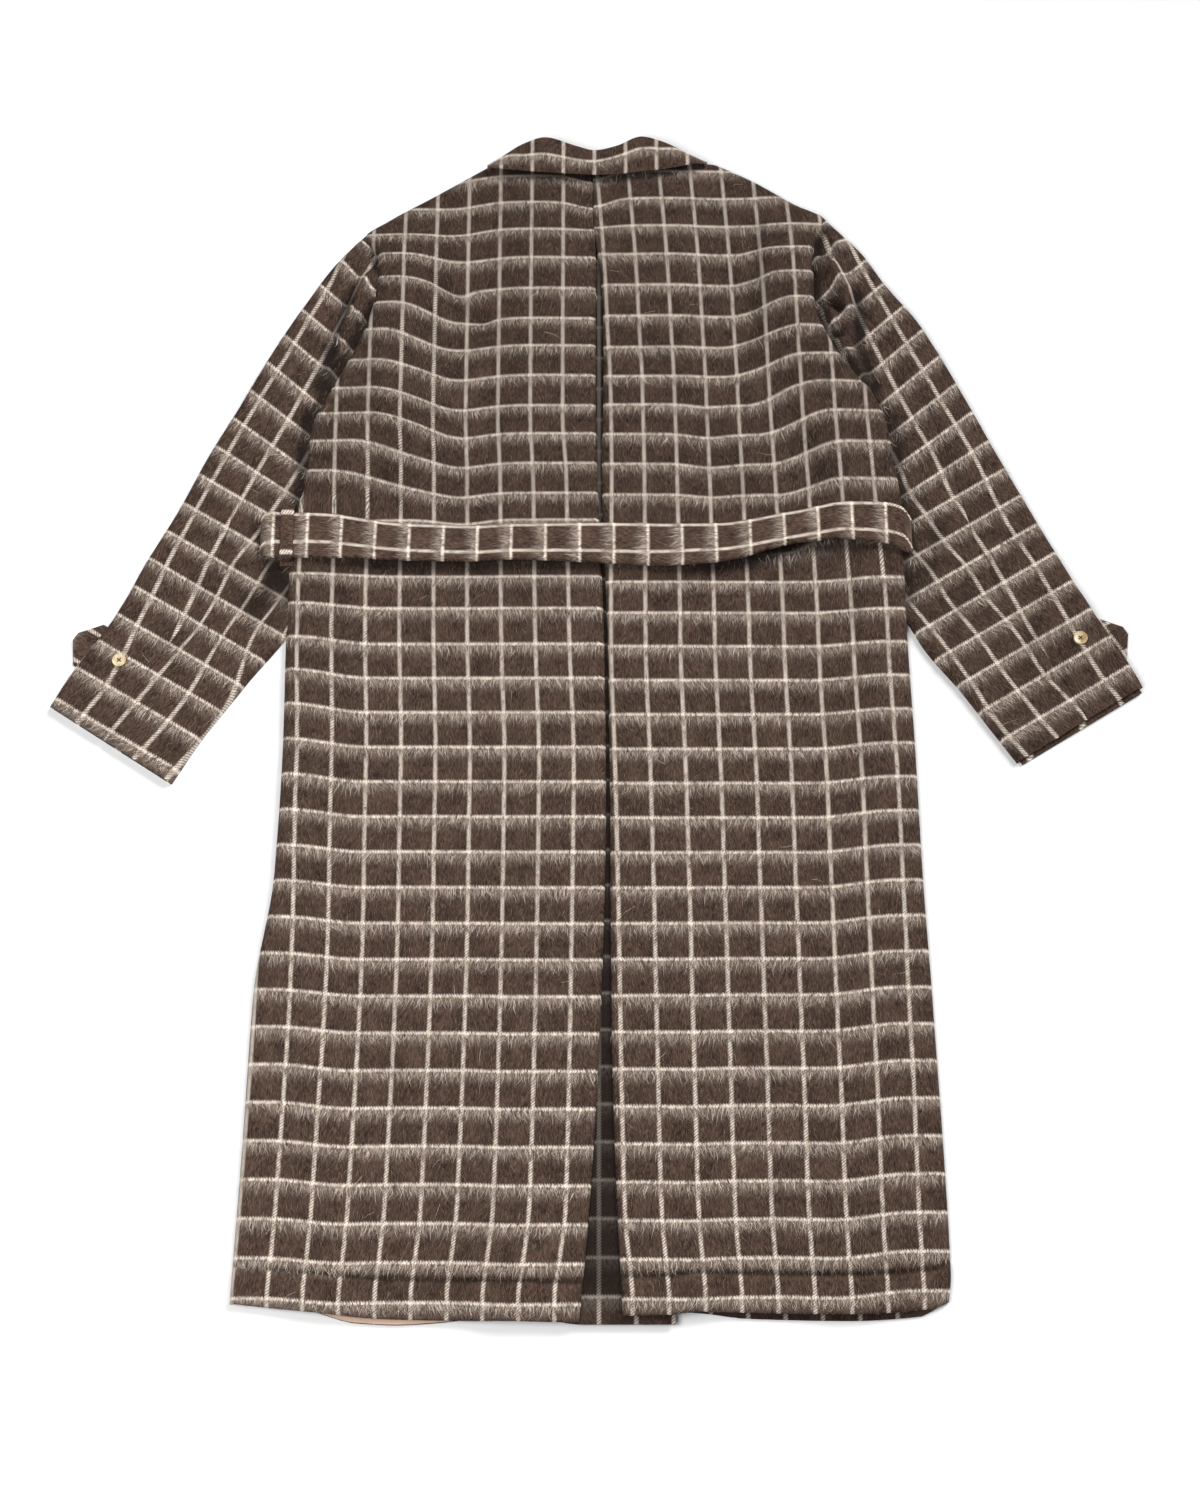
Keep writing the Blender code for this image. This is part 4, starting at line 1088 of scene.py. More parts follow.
CROSS_LINES = {"left": (382.0, 32.0), "right": (382.0, 31.6)}
CROSS_SLOPE = table("line slope", (-4, 0.95), (1, 0.88), (3, 0.76), (5, 0.61), (16, 0.60))
HEAD_SLIP = 0.6
CROSS_ROUNDS = 12
CROSS_STEP = 0.6


def sleeve_check(face, side, lines):
    """The place in the cloth of points on a sleeve, in checks; the line across is found in rounds."""
    sign = SIDES[side]
    slipped = HEAD_SLIP * folds_at(face[..., 0], face[..., 1], SLEEVE_HEAD[side])
    x, y = face[..., 0], face[..., 1] + LEAN * face[..., 2] - slipped
    spacing = lines if "pitch" in lines else TOP_PITCH
    pitch = smooth(y, spacing["y"], spacing["pitch"])
    across = sign * (smooth(y, lines["y"], lines["x"]) - x) / pitch
    first, apart = CROSS_LINES[side]
    spine = TOP_LINE[side]
    line = (first - y) / apart
    for _ in range(CROSS_ROUNDS):
        node_y = first - apart * line
        node_x = np.interp(node_y, spine["y"], spine["x"])
        slope = sign * np.interp(line, CROSS_SLOPE["line"], CROSS_SLOPE["slope"])
        line = line + CROSS_STEP * ((first - (y - slope * (x - node_x))) / apart - line)
    return np.stack([across + LINE_MIDDLE, LINE_MIDDLE - line], -1)


def make_sleeve(side):
    outer, inner, along = sleeve_rows(side)
    seam = smooth(along, HIND_SEAM["along"], HIND_SEAM["across"])
    upper, lower, unrolled = [], [], []
    for from_edge, to_edge, share in zip(outer, inner, seam):
        width = np.hypot(*(to_edge - from_edge))
        across_way = (to_edge - from_edge) / width
        free = float(ease((UNDERARM_Y - to_edge[1]) / UNDERARM_EASE))
        roll = min(roll_for(float(sleeve_top(*from_edge, side))), ROLL_SHARE * width)
        foot = FOOT + (CLOTH + GAP) * over_strap(*from_edge, side)
        far_roll = min(ROLL, INNER_ROLL_SHARE * width)
        to_seam = (roll, share * width - SEAM / 2, SLEEVE_COLUMNS)
        beyond = (share * width + SEAM / 2, width - far_roll, UNDER_SLEEVE_COLUMNS)
        across, near, far = across_section(roll, [to_seam, beyond], far_roll)
        x, y = from_edge[:, None] + across_way[:, None] * across
        top = sleeve_top(x, y, side)
        top = top - SEAM_SINK * np.exp(-(((across - share * width) / SEAM_SINK_WIDTH) ** 2))
        z = top - near * (top - foot) - free * far * (top - FOOT)
        upper.append(np.stack([x, y, z], -1))
        unrolled.append(np.stack([x, y, top], -1))
        inner_inset = FRONT_INSET * min(1, 3 * free)
        beneath = np.linspace(FRONT_INSET, width - inner_inset, SLEEVE_COLUMNS)
        x, y = from_edge[:, None] + across_way[:, None] * beneath
        lower.append(np.stack([x, y, CLOTH + (CLOTH + GAP) * over_strap(x, y, side)], -1))
    lower[-1][:, :2] -= CUFF[side]["slip"] * SIDES[side] * np.array([across_way[1], -across_way[0]])
    beneath = np.array(lower)
    check = sleeve_check(beneath, side, TOP_LINE[side])
    sheet_of_cloth("cloth_lower_sleeve_" + side, beneath, check, coating, straight_down=True)
    above, laid_open = np.array(upper), np.array(unrolled)
    middle = len(ROLL_ANGLES) - 1 + SLEEVE_COLUMNS
    for piece, part, lines in (
        ("cloth_top_sleeve_", slice(None, middle), TOP_LINE[side]),
        ("cloth_under_sleeve_", slice(middle, None), UNDER_LINE[side]),
    ):
        opened = laid_open[:, part]
        check = sleeve_check(opened, side, lines)
        # Painted shade in the sleeve's creases
        crease_shade = -creases_at(opened[..., 0], opened[..., 1], SLEEVE_CREASES[side]) / SLEEVE_CREASE_DEPTH
        shade = np.clip(crease_shade, 0, SLEEVE_PAINTED_SHADE_MOST)
        sheet_of_cloth(piece + side, above[:, part], check, coating, crease=shade)


for side_name in SIDES:
    make_sleeve(side_name)

# %% [markdown]
# ## Resting one piece on another
# The collar, the belt and its loop lie on cloth that is already there. Asking each finished sheet how
# high it is under a place gives a base that they can be built on, a hair's breadth above it.

# %% Resting one piece on another
HIGH_ABOVE = 500.0
surfaces = {}


def height_on(names, x, y, reach):
    """The highest point of finished sheets at and around a place."""
    highest = 0.0
    for name in names:
        if name not in surfaces:
            mesh = panels[name]["piece"].data
            corners = [v.co.copy() for v in mesh.vertices]
            surfaces[name] = BVHTree.FromPolygons(corners, [list(p.vertices) for p in mesh.polygons])
        for dx in (-reach, 0, reach):
            for dy in (-reach, 0, reach):
                above = Vector((x + dx, y + dy, HIGH_ABOVE)) * METRE
                place = surfaces[name].ray_cast(above, Vector((0, 0, -1)))[0]
                if place is not None:
                    highest = max(highest, place.z / METRE)
    return highest


def end_stations(knots, step, roll):
    """Stations along a piece with rolled ends, and how far each has rolled over."""
    near = knots[0] + roll * (1 - np.cos(ROLL_ANGLES))
    far = knots[-1] - roll * (1 - np.cos(ROLL_ANGLES[::-1]))
    inside = knots[(knots > near[-1] + step / 4) & (knots < far[0] - step / 4)]
    middle = spread(np.concatenate([near[-1:], inside, far[:1]]), step)[1:-1]
    drop = np.concatenate([1 - np.sin(ROLL_ANGLES), 0 * middle, 1 - np.sin(ROLL_ANGLES[::-1])])
    return np.concatenate([near, middle, far]), drop


print("sheets that others can rest on:", len(panels))

# %% [markdown]
# ## The collar
# Only the back of the collar shows: its fall, rolled over at the top into two humps with a dip at the
# nape, and stitched along its lower edge, which stands a little off the back. It is a grid of stations
# across the neck, each resting on the backs. The stand beneath it and the front ends are plain sheets.

# %% The collar
COLLAR_CREST = 4.0
CREST_SHARE = 0.67
CREST_FULL_WIDTH = 40.0
COLLAR_EDGE_LIFT = 6.0
EDGE_LIFT_SHARE = 0.7
COLLAR_CURVE_SHARE = 0.6
COLLAR_STATION = 3.0
COLLAR_ROWS = 16
COLLAR_PROBES = (0, 6, 12)
COLLAR_FEELS = 4.0
COLLAR_END_COLUMNS = 31
BAND_ROWS = 8
COLLAR_FOOT = CLOTH + GAP + FOOT
COLLAR_END_GAP = 4.0
STAND_HALF = 96.0
COLLAR_LINE_X = -3.0
COLLAR_PITCH = 33.5
EDGE_STITCH = 6.0
STITCH_DEPTH = 0.9
STITCH_WIDTH = 1.6
EDGE_ROUND = 1.2
EDGE_ROUND_WIDTH = 3.0


def make_collar():
    stations, end_drop = end_stations(COLLAR["x"], COLLAR_STATION, ROLL)
    lower, roll, line = (smooth(stations, COLLAR["x"], COLLAR[name]) for name in ("lower", "roll", "line"))
    backs = ["cloth_back_left", "cloth_back_right"]
    angles = ROLL_ANGLES[::-1]
    rows, check = [], []
    for x, low, high, share, ended in zip(stations, lower, roll, line, end_drop):
        base = max(height_on(backs, x, low + step, COLLAR_FEELS) for step in COLLAR_PROBES) + GAP
        width = high - low
        curve = min(roll_for(base), COLLAR_CURVE_SHARE * width)
        flat = np.linspace(0, width - curve, COLLAR_ROWS)[:-1]
        across = np.concatenate([flat, width - curve * (1 - np.cos(angles))])
        drop = np.concatenate([0 * flat, 1 - np.sin(angles)])
        crest = min(1, width / CREST_FULL_WIDTH) * COLLAR_CREST * ease(across / (CREST_SHARE * width))
        stitched = STITCH_DEPTH * np.exp(-(((across - EDGE_STITCH) / STITCH_WIDTH) ** 2))
        edge = EDGE_ROUND * (1 - np.sqrt(1 - np.clip(1 - across / EDGE_ROUND_WIDTH, 0, 1) ** 2))
        lifted = COLLAR_EDGE_LIFT * (1 - ended) * ease(1 - across / (EDGE_LIFT_SHARE * width))
        top = base + CLOTH + crest + lifted - stitched - edge
        foot = np.where(drop > 0, COLLAR_FOOT, base + lifted + FOOT)
        z = foot + (top - foot) * (1 - drop)
        z = z - ended * (z - np.minimum(z, base + FOOT))
        rows.append(np.stack([np.full(across.shape, x), low + across, z], -1))
        run = np.concatenate([[0], np.cumsum(np.hypot(np.diff(across), np.diff(z)))])
        along = (run - share * width) / CHECK_ALONG
        check.append(np.stack([np.full(across.shape, (x - COLLAR_LINE_X) / COLLAR_PITCH), along], -1))
    face = np.array(rows)
    sheet_of_cloth("cloth_collar_fall", face, np.array(check) + LINE_MIDDLE, coating)
    inside = stations[np.abs(stations) < STAND_HALF]
    neck = np.full(inside.shape, BODY_EDGE["right"]["y"][-1] + SIDE_CLEARANCE)
    flat_band("cloth_collar_stand", inside, neck, 2 * CLOTH + GAP)
    for side, sign in SIDES.items():
        x = sign * np.linspace(COLLAR_END_GAP, STAND_HALF, COLLAR_END_COLUMNS)
        neck = np.interp(np.abs(x), NECK["x"], NECK["y"]) + 2 * SIDE_CLEARANCE
        flat_band("cloth_collar_end_" + side, x, neck, CLOTH)


def flat_band(name, x, neck, level):
    """A flat sheet from the neck up to just inside the collar's roll."""
    high = smooth(x, COLLAR["x"], COLLAR["roll"]) - 2 * CLOTH
    shares = np.linspace(0, 1, BAND_ROWS)[:, None]
    y = neck + shares * (high - neck)
    face = np.stack([np.broadcast_to(x, y.shape), y, np.full(y.shape, level)], -1)
    sheet_of_cloth(name, face, plain_check(face, COLLAR_LINE_X), coating, straight_down=True)


make_collar()

# %% [markdown]
# ## The belt and its loop
# The belt is cut along the cloth, so the crisp woven lines run its length, one at its upper edge and one
# lower down, and the brushed lines cross it with their fibres combed towards the left. It is doubled
# cloth with soft edges, and it lies slack, so its lower edge lifts off the back in places. One narrow
# loop holds it at the left side. Both are built on what lies under them, station by station.

# %% The belt and its loop
BELT_WALL = 5.0
BELT_STATION = 4.0
BELT_SLACK = 2.0
BELT_LIFT_FROM = 0.6
BELT_FEELS = 7.0
BELT_END_THIN = 0.7
BELT_TOP_LINE = 3.0
BELT_PITCH = 31.0
BELT_CROSS_X = 17.0
BELT_CROSS_PITCH = 34.9
BELT_SECTION = table(
    "across full",
    (-1, 0.35), (-0.985, 0.58), (-0.95, 0.8), (-0.88, 0.94), (-0.75, 1.04), (-0.5, 1.0), (-0.25, 0.96),
    (0, 0.97), (0.25, 0.96), (0.5, 1.0), (0.75, 1.04), (0.88, 0.94), (0.95, 0.8), (0.985, 0.58), (1, 0.35),
)
LOOP_WIDTH = 13.0
LOOP_X = -317.5
LOOP_FOOT = 9.0
LOOP_WALL = 2.5
LOOP_ROWS = 61
LOOP_SECTION = table(
    "across lowered",
    (-1, 0.9), (-0.9, 0.3), (-0.5, 0), (0, 0), (0.5, 0), (0.9, 0.3), (1, 0.9),
)
LOOP_LINE = 22.0
LOOP_PITCH = 44.0
LOOP_CROSS = 14.0
LOOP_FEELS = 4.0


def make_belt():
    kinds = ("back_", "top_sleeve_", "under_sleeve_")
    carriers = ["cloth_" + kind + side for side in SIDES for kind in kinds]
    stations, end_drop = end_stations(BELT["x"], BELT_STATION, BELT_WALL)
    middle = smooth(stations, BELT["x"], BELT["middle"])
    width = smooth(stations, BELT["x"], BELT["width"])
    shares = BELT_SECTION["across"] / 2
    rows, under_rows, check = [], [], []
    for x, y, wide, ended in zip(stations, middle, width, end_drop):
        under = np.array([height_on(carriers, x, y + share * wide, BELT_FEELS) for share in shares]) + GAP
        under_rows.append(np.maximum(under, under.max() - BELT_SLACK))
        rows.append(y + shares * wide)
        across = (shares * wide - wide / 2 + BELT_TOP_LINE) / BELT_PITCH
        check.append(np.stack([across, np.full(across.shape, (x - BELT_CROSS_X) / BELT_CROSS_PITCH)], -1))
    under = np.array(under_rows)
    under = np.maximum(under, (np.roll(under, 1, 0) + np.roll(under, -1, 0)) / 2)
    thick = BELT_WALL * BELT_SECTION["full"] * (1 - BELT_END_THIN * end_drop[:, None])
    y = np.array(rows)
    x = np.broadcast_to(stations[:, None], y.shape)
    lift = smooth(stations, BELT_LIFT["x"], BELT_LIFT["lift"])[:, None] * ease(BELT_LIFT_FROM - shares)
    face = np.stack([x, y, under + lift + thick], -1)
    sheet_of_cloth("cloth_belt", face, np.array(check) + LINE_MIDDLE, coating_painted_lighter, thick[..., None], True)


def make_belt_loop():
    carriers = ["cloth_belt", "cloth_back_left", "cloth_top_sleeve_left", "cloth_under_sleeve_left"]
    middle = float(smooth(np.array(LOOP_X), BELT["x"], BELT["middle"]))
    reach = float(smooth(np.array(LOOP_X), BELT["x"], BELT["width"])) / 2 + LOOP_FOOT
    shares, rounding = LOOP_SECTION["across"], LOOP_SECTION["lowered"]
    rows, check = [], []
    for y in np.linspace(middle - reach, middle + reach, LOOP_ROWS):
        below = [height_on(carriers, LOOP_X + LOOP_WIDTH / 2 * share, y, LOOP_FEELS) for share in (-1, 0, 1)]
        z = max(below) + GAP
        x = LOOP_X + LOOP_WIDTH / 2 * shares
        rows.append(np.stack([x, np.full(x.shape, y), z + LOOP_WALL - rounding], -1))
        across = np.full(x.shape, (y - middle - LOOP_LINE) / LOOP_PITCH)
        check.append(np.stack([across, (x - LOOP_X + LOOP_CROSS) / CHECK_ALONG], -1))
    face = np.array(rows)
    sheet_of_cloth("cloth_belt_loop", face, np.array(check) + LINE_MIDDLE, coating_painted_lighter, LOOP_WALL, True)


make_belt()
make_belt_loop()

# %% [markdown]
# ## The cuff straps
# A pointed strap lies inside each cuff's fold and shows only its end. A plane cut to a point and bevelled
# would do, but the check has to run on along it, so it is a grid like the panels: rows that narrow
# towards the tip, lowered at the rim to round it and along a shallow groove where it is sewn.

# %% The cuff straps
STRAP_REACH = 24.0
STRAP_POINT = 16.0
STRAP_TIP = 5.0
STRAP_ROWS = 12
STRAP_POINT_ROWS = 6
STRAP_SECTION = table(
    "across lowered",
    (-1, 1.2), (-0.96, 0.4), (-0.88, 0), (-0.78, 0.5), (-0.5, 0), (0, 0), (0.5, 0), (0.78, 0.5), (0.88, 0),
    (0.96, 0.4), (1, 1.2),
)


def make_cuff_strap(side):
    middle, outward, along = strap_frame(side)
    line_across, line_out = CUFF[side]["line"]
    half = STRAP_WIDTH / 2
    shoulder = STRAP_REACH - STRAP_POINT
    tucked = np.linspace(-STRAP_TUCKED, shoulder, STRAP_ROWS)
    point = np.linspace(shoulder, STRAP_REACH, STRAP_POINT_ROWS)
    outs = np.concatenate([tucked, point[1:]])
    halves = np.interp(outs, [-STRAP_TUCKED, shoulder, STRAP_REACH], [half, half, STRAP_TIP])
    shares, rounding = STRAP_SECTION["across"], STRAP_SECTION["lowered"]
    rows, check = [], []
    for out, wide in zip(outs, halves):
        place = middle + out * outward + (shares * wide)[:, None] * along
        rows.append(np.concatenate([place, (CLOTH - rounding)[:, None]], -1))
        across = (shares * wide + line_across) / CHECK_ACROSS
        check.append(np.stack([across, np.full(shares.shape, (out - line_out) / CHECK_ALONG)], -1))
    face = np.array(rows)
    name = "cloth_cuff_strap_" + side
    sheet_of_cloth(name, face, np.array(check) + LINE_MIDDLE, coating, face[..., 2:], True)


for side_name in SIDES:
    make_cuff_strap(side_name)

# %% [markdown]
# ## The cuff buttons
# Each cuff has one pale horn button, sewn on through four holes. A button is turned on a lathe: a disc
# with a raised rim round a shallow dish. Here a cylinder's top face is inset and pushed down for the dish,
# a bevel rounds the rim, and thin cylinders cut the holes. Two bars of dark thread cross in the dish.

# %% The cuff buttons
BUTTON_RADIUS = 7.0
BUTTON_BASE = 17.4
BUTTON_THICK = 3.4
BUTTON_RIM = 1.9
BUTTON_DISH = 0.9
BUTTON_BEVEL = 0.6
BUTTON_SIDES = 48
FACES_UP = 0.9
HOLE_RADIUS = 0.85
HOLE_FROM_MIDDLE = 1.9
HOLE_SIDES = 20
HOLE_TURNS = (math.radians(45), math.radians(135))
THREAD_RADIUS = 0.55
THREAD_SIDES = 10
THREAD_SPAN = 2.6
THREAD_DARK = (0.02, 0.015, 0.012, 1)
THREAD_ROUGHNESS = 0.8
RIGHT_ANGLE = math.radians(90)
HORN_DEEP = (0.30, 0.20, 0.09, 1)
HORN_PALE = (0.62, 0.52, 0.33, 1)
HORN_NOISE = (160, 90, 200)
HORN_STEP = (0.3, 0.7)
HORN_ROUGHNESS = 0.3
buttons = {}
threads = {}


def horn_finish():
    material, shader, start = start_material("pale_horn")
    place = start.node("ShaderNodeTexCoord", {}, {}, 3)
    cloud = place.noise(HORN_NOISE, 2.0)
    feed(shader, "Base Color", cloud.step(*HORN_STEP).blend(HORN_DEEP, HORN_PALE))
    shader.inputs["Roughness"].default_value = HORN_ROUGHNESS
    return material


def thread_finish():
    material, shader, _ = start_material("dark_thread")
    shader.inputs["Base Color"].default_value = THREAD_DARK
    shader.inputs["Roughness"].default_value = THREAD_ROUGHNESS
    return material


def cylinder(radius, depth, place, turn=(0, 0, 0), sides=HOLE_SIDES):
    bpy.ops.object.select_all(action="DESELECT")
    bpy.ops.mesh.primitive_cylinder_add(
        vertices=sides, radius=radius * METRE, depth=depth * METRE, location=place * METRE, rotation=turn
    )
    return bpy.context.object


def apply_modifier(piece, kind, settings):
    modifier = piece.modifiers.new("change", kind)
    for name, setting in settings.items():
        setattr(modifier, name, setting)
    bpy.context.view_layer.objects.active = piece
    bpy.ops.object.modifier_apply(modifier=modifier.name)


def finish_piece(piece, name, material):
    """Puts a piece's place into its points, so the object itself stays at the origin."""
    bpy.ops.object.select_all(action="DESELECT")
    piece.select_set(True)
    bpy.context.view_layer.objects.active = piece
    bpy.ops.object.transform_apply(location=True, rotation=True, scale=True)
    piece.name = name
    piece.data.shade_smooth()
    piece.data.set_sharp_from_angle(angle=SHARP_EDGE)
    piece.data.materials.clear()
    piece.data.materials.append(material)
    return piece


def make_button(side):
    middle = Vector((*CUFF[side]["button"], BUTTON_BASE + BUTTON_THICK / 2))
    button = cylinder(BUTTON_RADIUS, BUTTON_THICK, middle, sides=BUTTON_SIDES)
    bpy.ops.object.mode_set(mode="EDIT")
    bpy.ops.mesh.select_mode(type="FACE")
    shape = bmesh.from_edit_mesh(button.data)
    for face in shape.faces:
        face.select_set(face.normal.z > FACES_UP)
    bmesh.update_edit_mesh(button.data)
    bpy.ops.mesh.inset(thickness=BUTTON_RIM * METRE)
    bpy.ops.transform.translate(value=(0, 0, -BUTTON_DISH * METRE))
    bpy.ops.object.mode_set(mode="OBJECT")
    bevel = {"width": BUTTON_BEVEL * METRE, "segments": 3, "limit_method": "ANGLE"}
    apply_modifier(button, "BEVEL", bevel)
    bars = []
    for turn in HOLE_TURNS:
        way = Vector((math.cos(turn), math.sin(turn), 0))
        for sign in (-1, 1):
            cutter = cylinder(HOLE_RADIUS, 4 * BUTTON_THICK, middle + sign * HOLE_FROM_MIDDLE * way)
            apply_modifier(button, "BOOLEAN", {"object": cutter, "operation": "DIFFERENCE"})
            bpy.data.objects.remove(cutter)
        above = Vector((0, 0, BUTTON_THICK / 2 - BUTTON_DISH))
        lying = (RIGHT_ANGLE, 0, turn + RIGHT_ANGLE)
        span = THREAD_SPAN * HOLE_FROM_MIDDLE
        bars.append(cylinder(THREAD_RADIUS, span, middle + above, lying, THREAD_SIDES))
    buttons[side] = finish_piece(button, "horn_button_" + side, pale_horn)
    bpy.ops.object.select_all(action="DESELECT")
    for bar in bars:
        bar.select_set(True)
    bpy.context.view_layer.objects.active = bars[0]
    bpy.ops.object.join()
    threads[side] = finish_piece(bars[0], "button_thread_" + side, dark_thread)
    print("horn_button_" + side, "has", len(buttons[side].data.polygons), "faces")


pale_horn = horn_finish()
dark_thread = thread_finish()
for side_name in SIDES:
    make_button(side_name)

# %% [markdown]
# ## The nap
# Brushing raises fibres from the cloth and lays them down towards the hem. Blender's own hair could draw
# them, but it is not a mesh, so each fibre here is a narrow ribbon of three triangles that starts in the
# cloth, rises a little and lies down again. Fibres are scattered in a seeded random order, fewer where
# shade is painted into the cloth and none where an edge rolls steeply over. Each panel gets a thin, even
# nap and then a fringe: a denser scatter of which only the fibres that start in a brushed line are kept.
# Fibres in a pale line are pale, those of the fringe are the longest, and a few stray ones lie askew.

# %% The nap
NAP_DENSITY = 0.15
FRINGE_DENSITY = 0.75
FRINGE_TOP = 1.2
FRINGE_LOW = -2.6
NAP_LIFT = 1.0
NAP_HALF_WIDTH = 0.17
FRINGE_HALF_WIDTH = 0.13
NAP_DARK = (0.013, 0.0078, 0.0056, 1)
NAP_BROWN = (0.19, 0.124, 0.092, 1)
PALE_FIBRE = (0.79, 0.695, 0.60, 1)
SHORT_AT_EDGE = 0.25
STEEPEST = 0.62
LOWEST_FIBRE = 0.2
HIGHEST_FIBRE = 31.0
STRAY_SHARE = 0.0008
STRAY_PALE = 0.8
STRAY_LENGTH = (14, 28)
STRAY_THIN = 0.6
SPECK_SHARE = 0.06
SPECK_PALE = 0.5
BROWN_PALE = 0.40
WOVEN_PALE = (0.1, 0.7)
BRUSHED_PALE = (0.1, 0.95)
BRUSHED_LENGTH = (5, 9, 19)
NAP_LENGTH = (5, 11)
WOVEN_LENGTH = (3, 6)
LEAN_SPREAD = 0.28
STRAY_SPREAD = 1.3
BEND_SPREAD = 0.40
SWAYS = ((0.16, 1.9, 0.8), (0.14, 0.7, -1.7))
BROWN_FADE = 1.5
WIDTH_SHARES = (0.7, 1.3)
LIFT_SHARES = (0.5, 1.5)
TIP_SHARES = (-0.7, 0.5)
ROOT_DEPTH = 0.3
MIDDLE_TAPER = 0.8
FIBRE_POINTS = 5
NAP_ROUGHNESS = 0.9
chance = np.random.default_rng(20)
naps = {}


def nap_finish():
    material, shader, start = start_material("nap_fibre")
    pale = start.node("ShaderNodeAttribute", {"attribute_name": "pale"}, {}, 2)
    brown = (pale * 2.0).blend(NAP_DARK, NAP_BROWN)
    feed(shader, "Base Color", (pale * 2.0 - 1.0).blend(brown, PALE_FIBRE))
    shader.inputs["Roughness"].default_value = NAP_ROUGHNESS
    shader.inputs["Specular IOR Level"].default_value = CLOTH_SHINE
    return material


def unit(vectors):
    return vectors / np.linalg.norm(vectors, axis=-1, keepdims=True)


def scatter(panel, density):
    """Places spread evenly over a panel: points, places in the cloth, the way the nap lies, and up."""
    face, check = panel["face"], panel["map"]
    side_a = (face[:-1, 1:] - face[:-1, :-1]).reshape(-1, 3)
    side_b = (face[1:, :-1] - face[:-1, :-1]).reshape(-1, 3)
    map_a = (check[:-1, 1:] - check[:-1, :-1]).reshape(-1, 2)
    map_b = (check[1:, :-1] - check[:-1, :-1]).reshape(-1, 2)
    upright = np.cross(side_a, side_b)
    area = np.linalg.norm(upright, axis=1)
    pick = chance.choice(len(area), int(density * area.sum()), p=area / area.sum())
    s, t = chance.random((2, len(pick), 1))
    points = face[:-1, :-1].reshape(-1, 3)[pick] + s * side_a[pick] + t * side_b[pick]
    places = check[:-1, :-1].reshape(-1, 2)[pick] + s * map_a[pick] + t * map_b[pick]
    turn = np.sign(map_a[pick, 0] * map_b[pick, 1] - map_a[pick, 1] * map_b[pick, 0])[:, None]
    down = unit((map_b[pick, :1] * side_a[pick] - map_a[pick, :1] * side_b[pick]) * turn)
    up = unit(upright[pick]) * np.sign(upright[:, 2].sum())
    # Fibres are dropped where shade is painted, more where it is painted darker
    shade = panel["crease"][:-1, :-1].ravel()[pick]
    kept = (chance.random(len(pick)) > shade) & (up[:, 2] > STEEPEST)
    return points[kept], places[kept], down[kept], up[kept]


def ribbons(name, points, ways, bent_ways, up, lengths, widths, pale):
    """Fibres as one mesh: each starts in the cloth, rises, bends and comes to a point."""
    count = len(points)
    lift = NAP_LIFT * chance.uniform(*LIFT_SHARES, (count, 1))
    middle = points + 0.5 * lengths * ways + lift * up
    tip = middle + 0.5 * lengths * bent_ways + (chance.uniform(*TIP_SHARES, (count, 1)) * lift) * up
    aside = np.cross(up, ways) * widths
    root = points - ROOT_DEPTH * up
    narrow = MIDDLE_TAPER * aside
    corners = np.stack([root - aside, root + aside, middle + narrow, middle - narrow, tip], 1)
    corners[..., 2] = np.clip(corners[..., 2], LOWEST_FIBRE, HIGHEST_FIBRE)
    first = FIBRE_POINTS * np.arange(count)[:, None]
    quads = first + np.array([0, 1, 2, 3])
    tips = first + np.array([3, 2, 4])
    mesh = bpy.data.meshes.new(name)
    mesh.from_pydata((corners.reshape(-1, 3) * METRE).tolist(), [], quads.tolist() + tips.tolist())
    paleness = np.repeat(pale, FIBRE_POINTS).astype(np.float32)
    mesh.attributes.new("pale", "FLOAT", "POINT").data.foreach_set("value", paleness)
    mesh.shade_smooth()
    mesh.materials.append(nap_fibre)
    piece = bpy.data.objects.new(name, mesh)
    bpy.context.scene.collection.objects.link(piece)
    print(name, "has", count, "fibres")
    return piece


def inside_outline(outline, points):
    """True for points inside a closed outline, seen from above."""
    inside = np.zeros(len(points), bool)
    for (ax, ay), (bx, by) in zip(outline, np.roll(outline, -1, 0)):
        if ay != by:
            crossed = (points[:, 1] > min(ay, by)) & (points[:, 1] <= max(ay, by))
            inside ^= crossed & (points[:, 0] < ax + (points[:, 1] - ay) * (bx - ax) / (by - ay))
    return inside


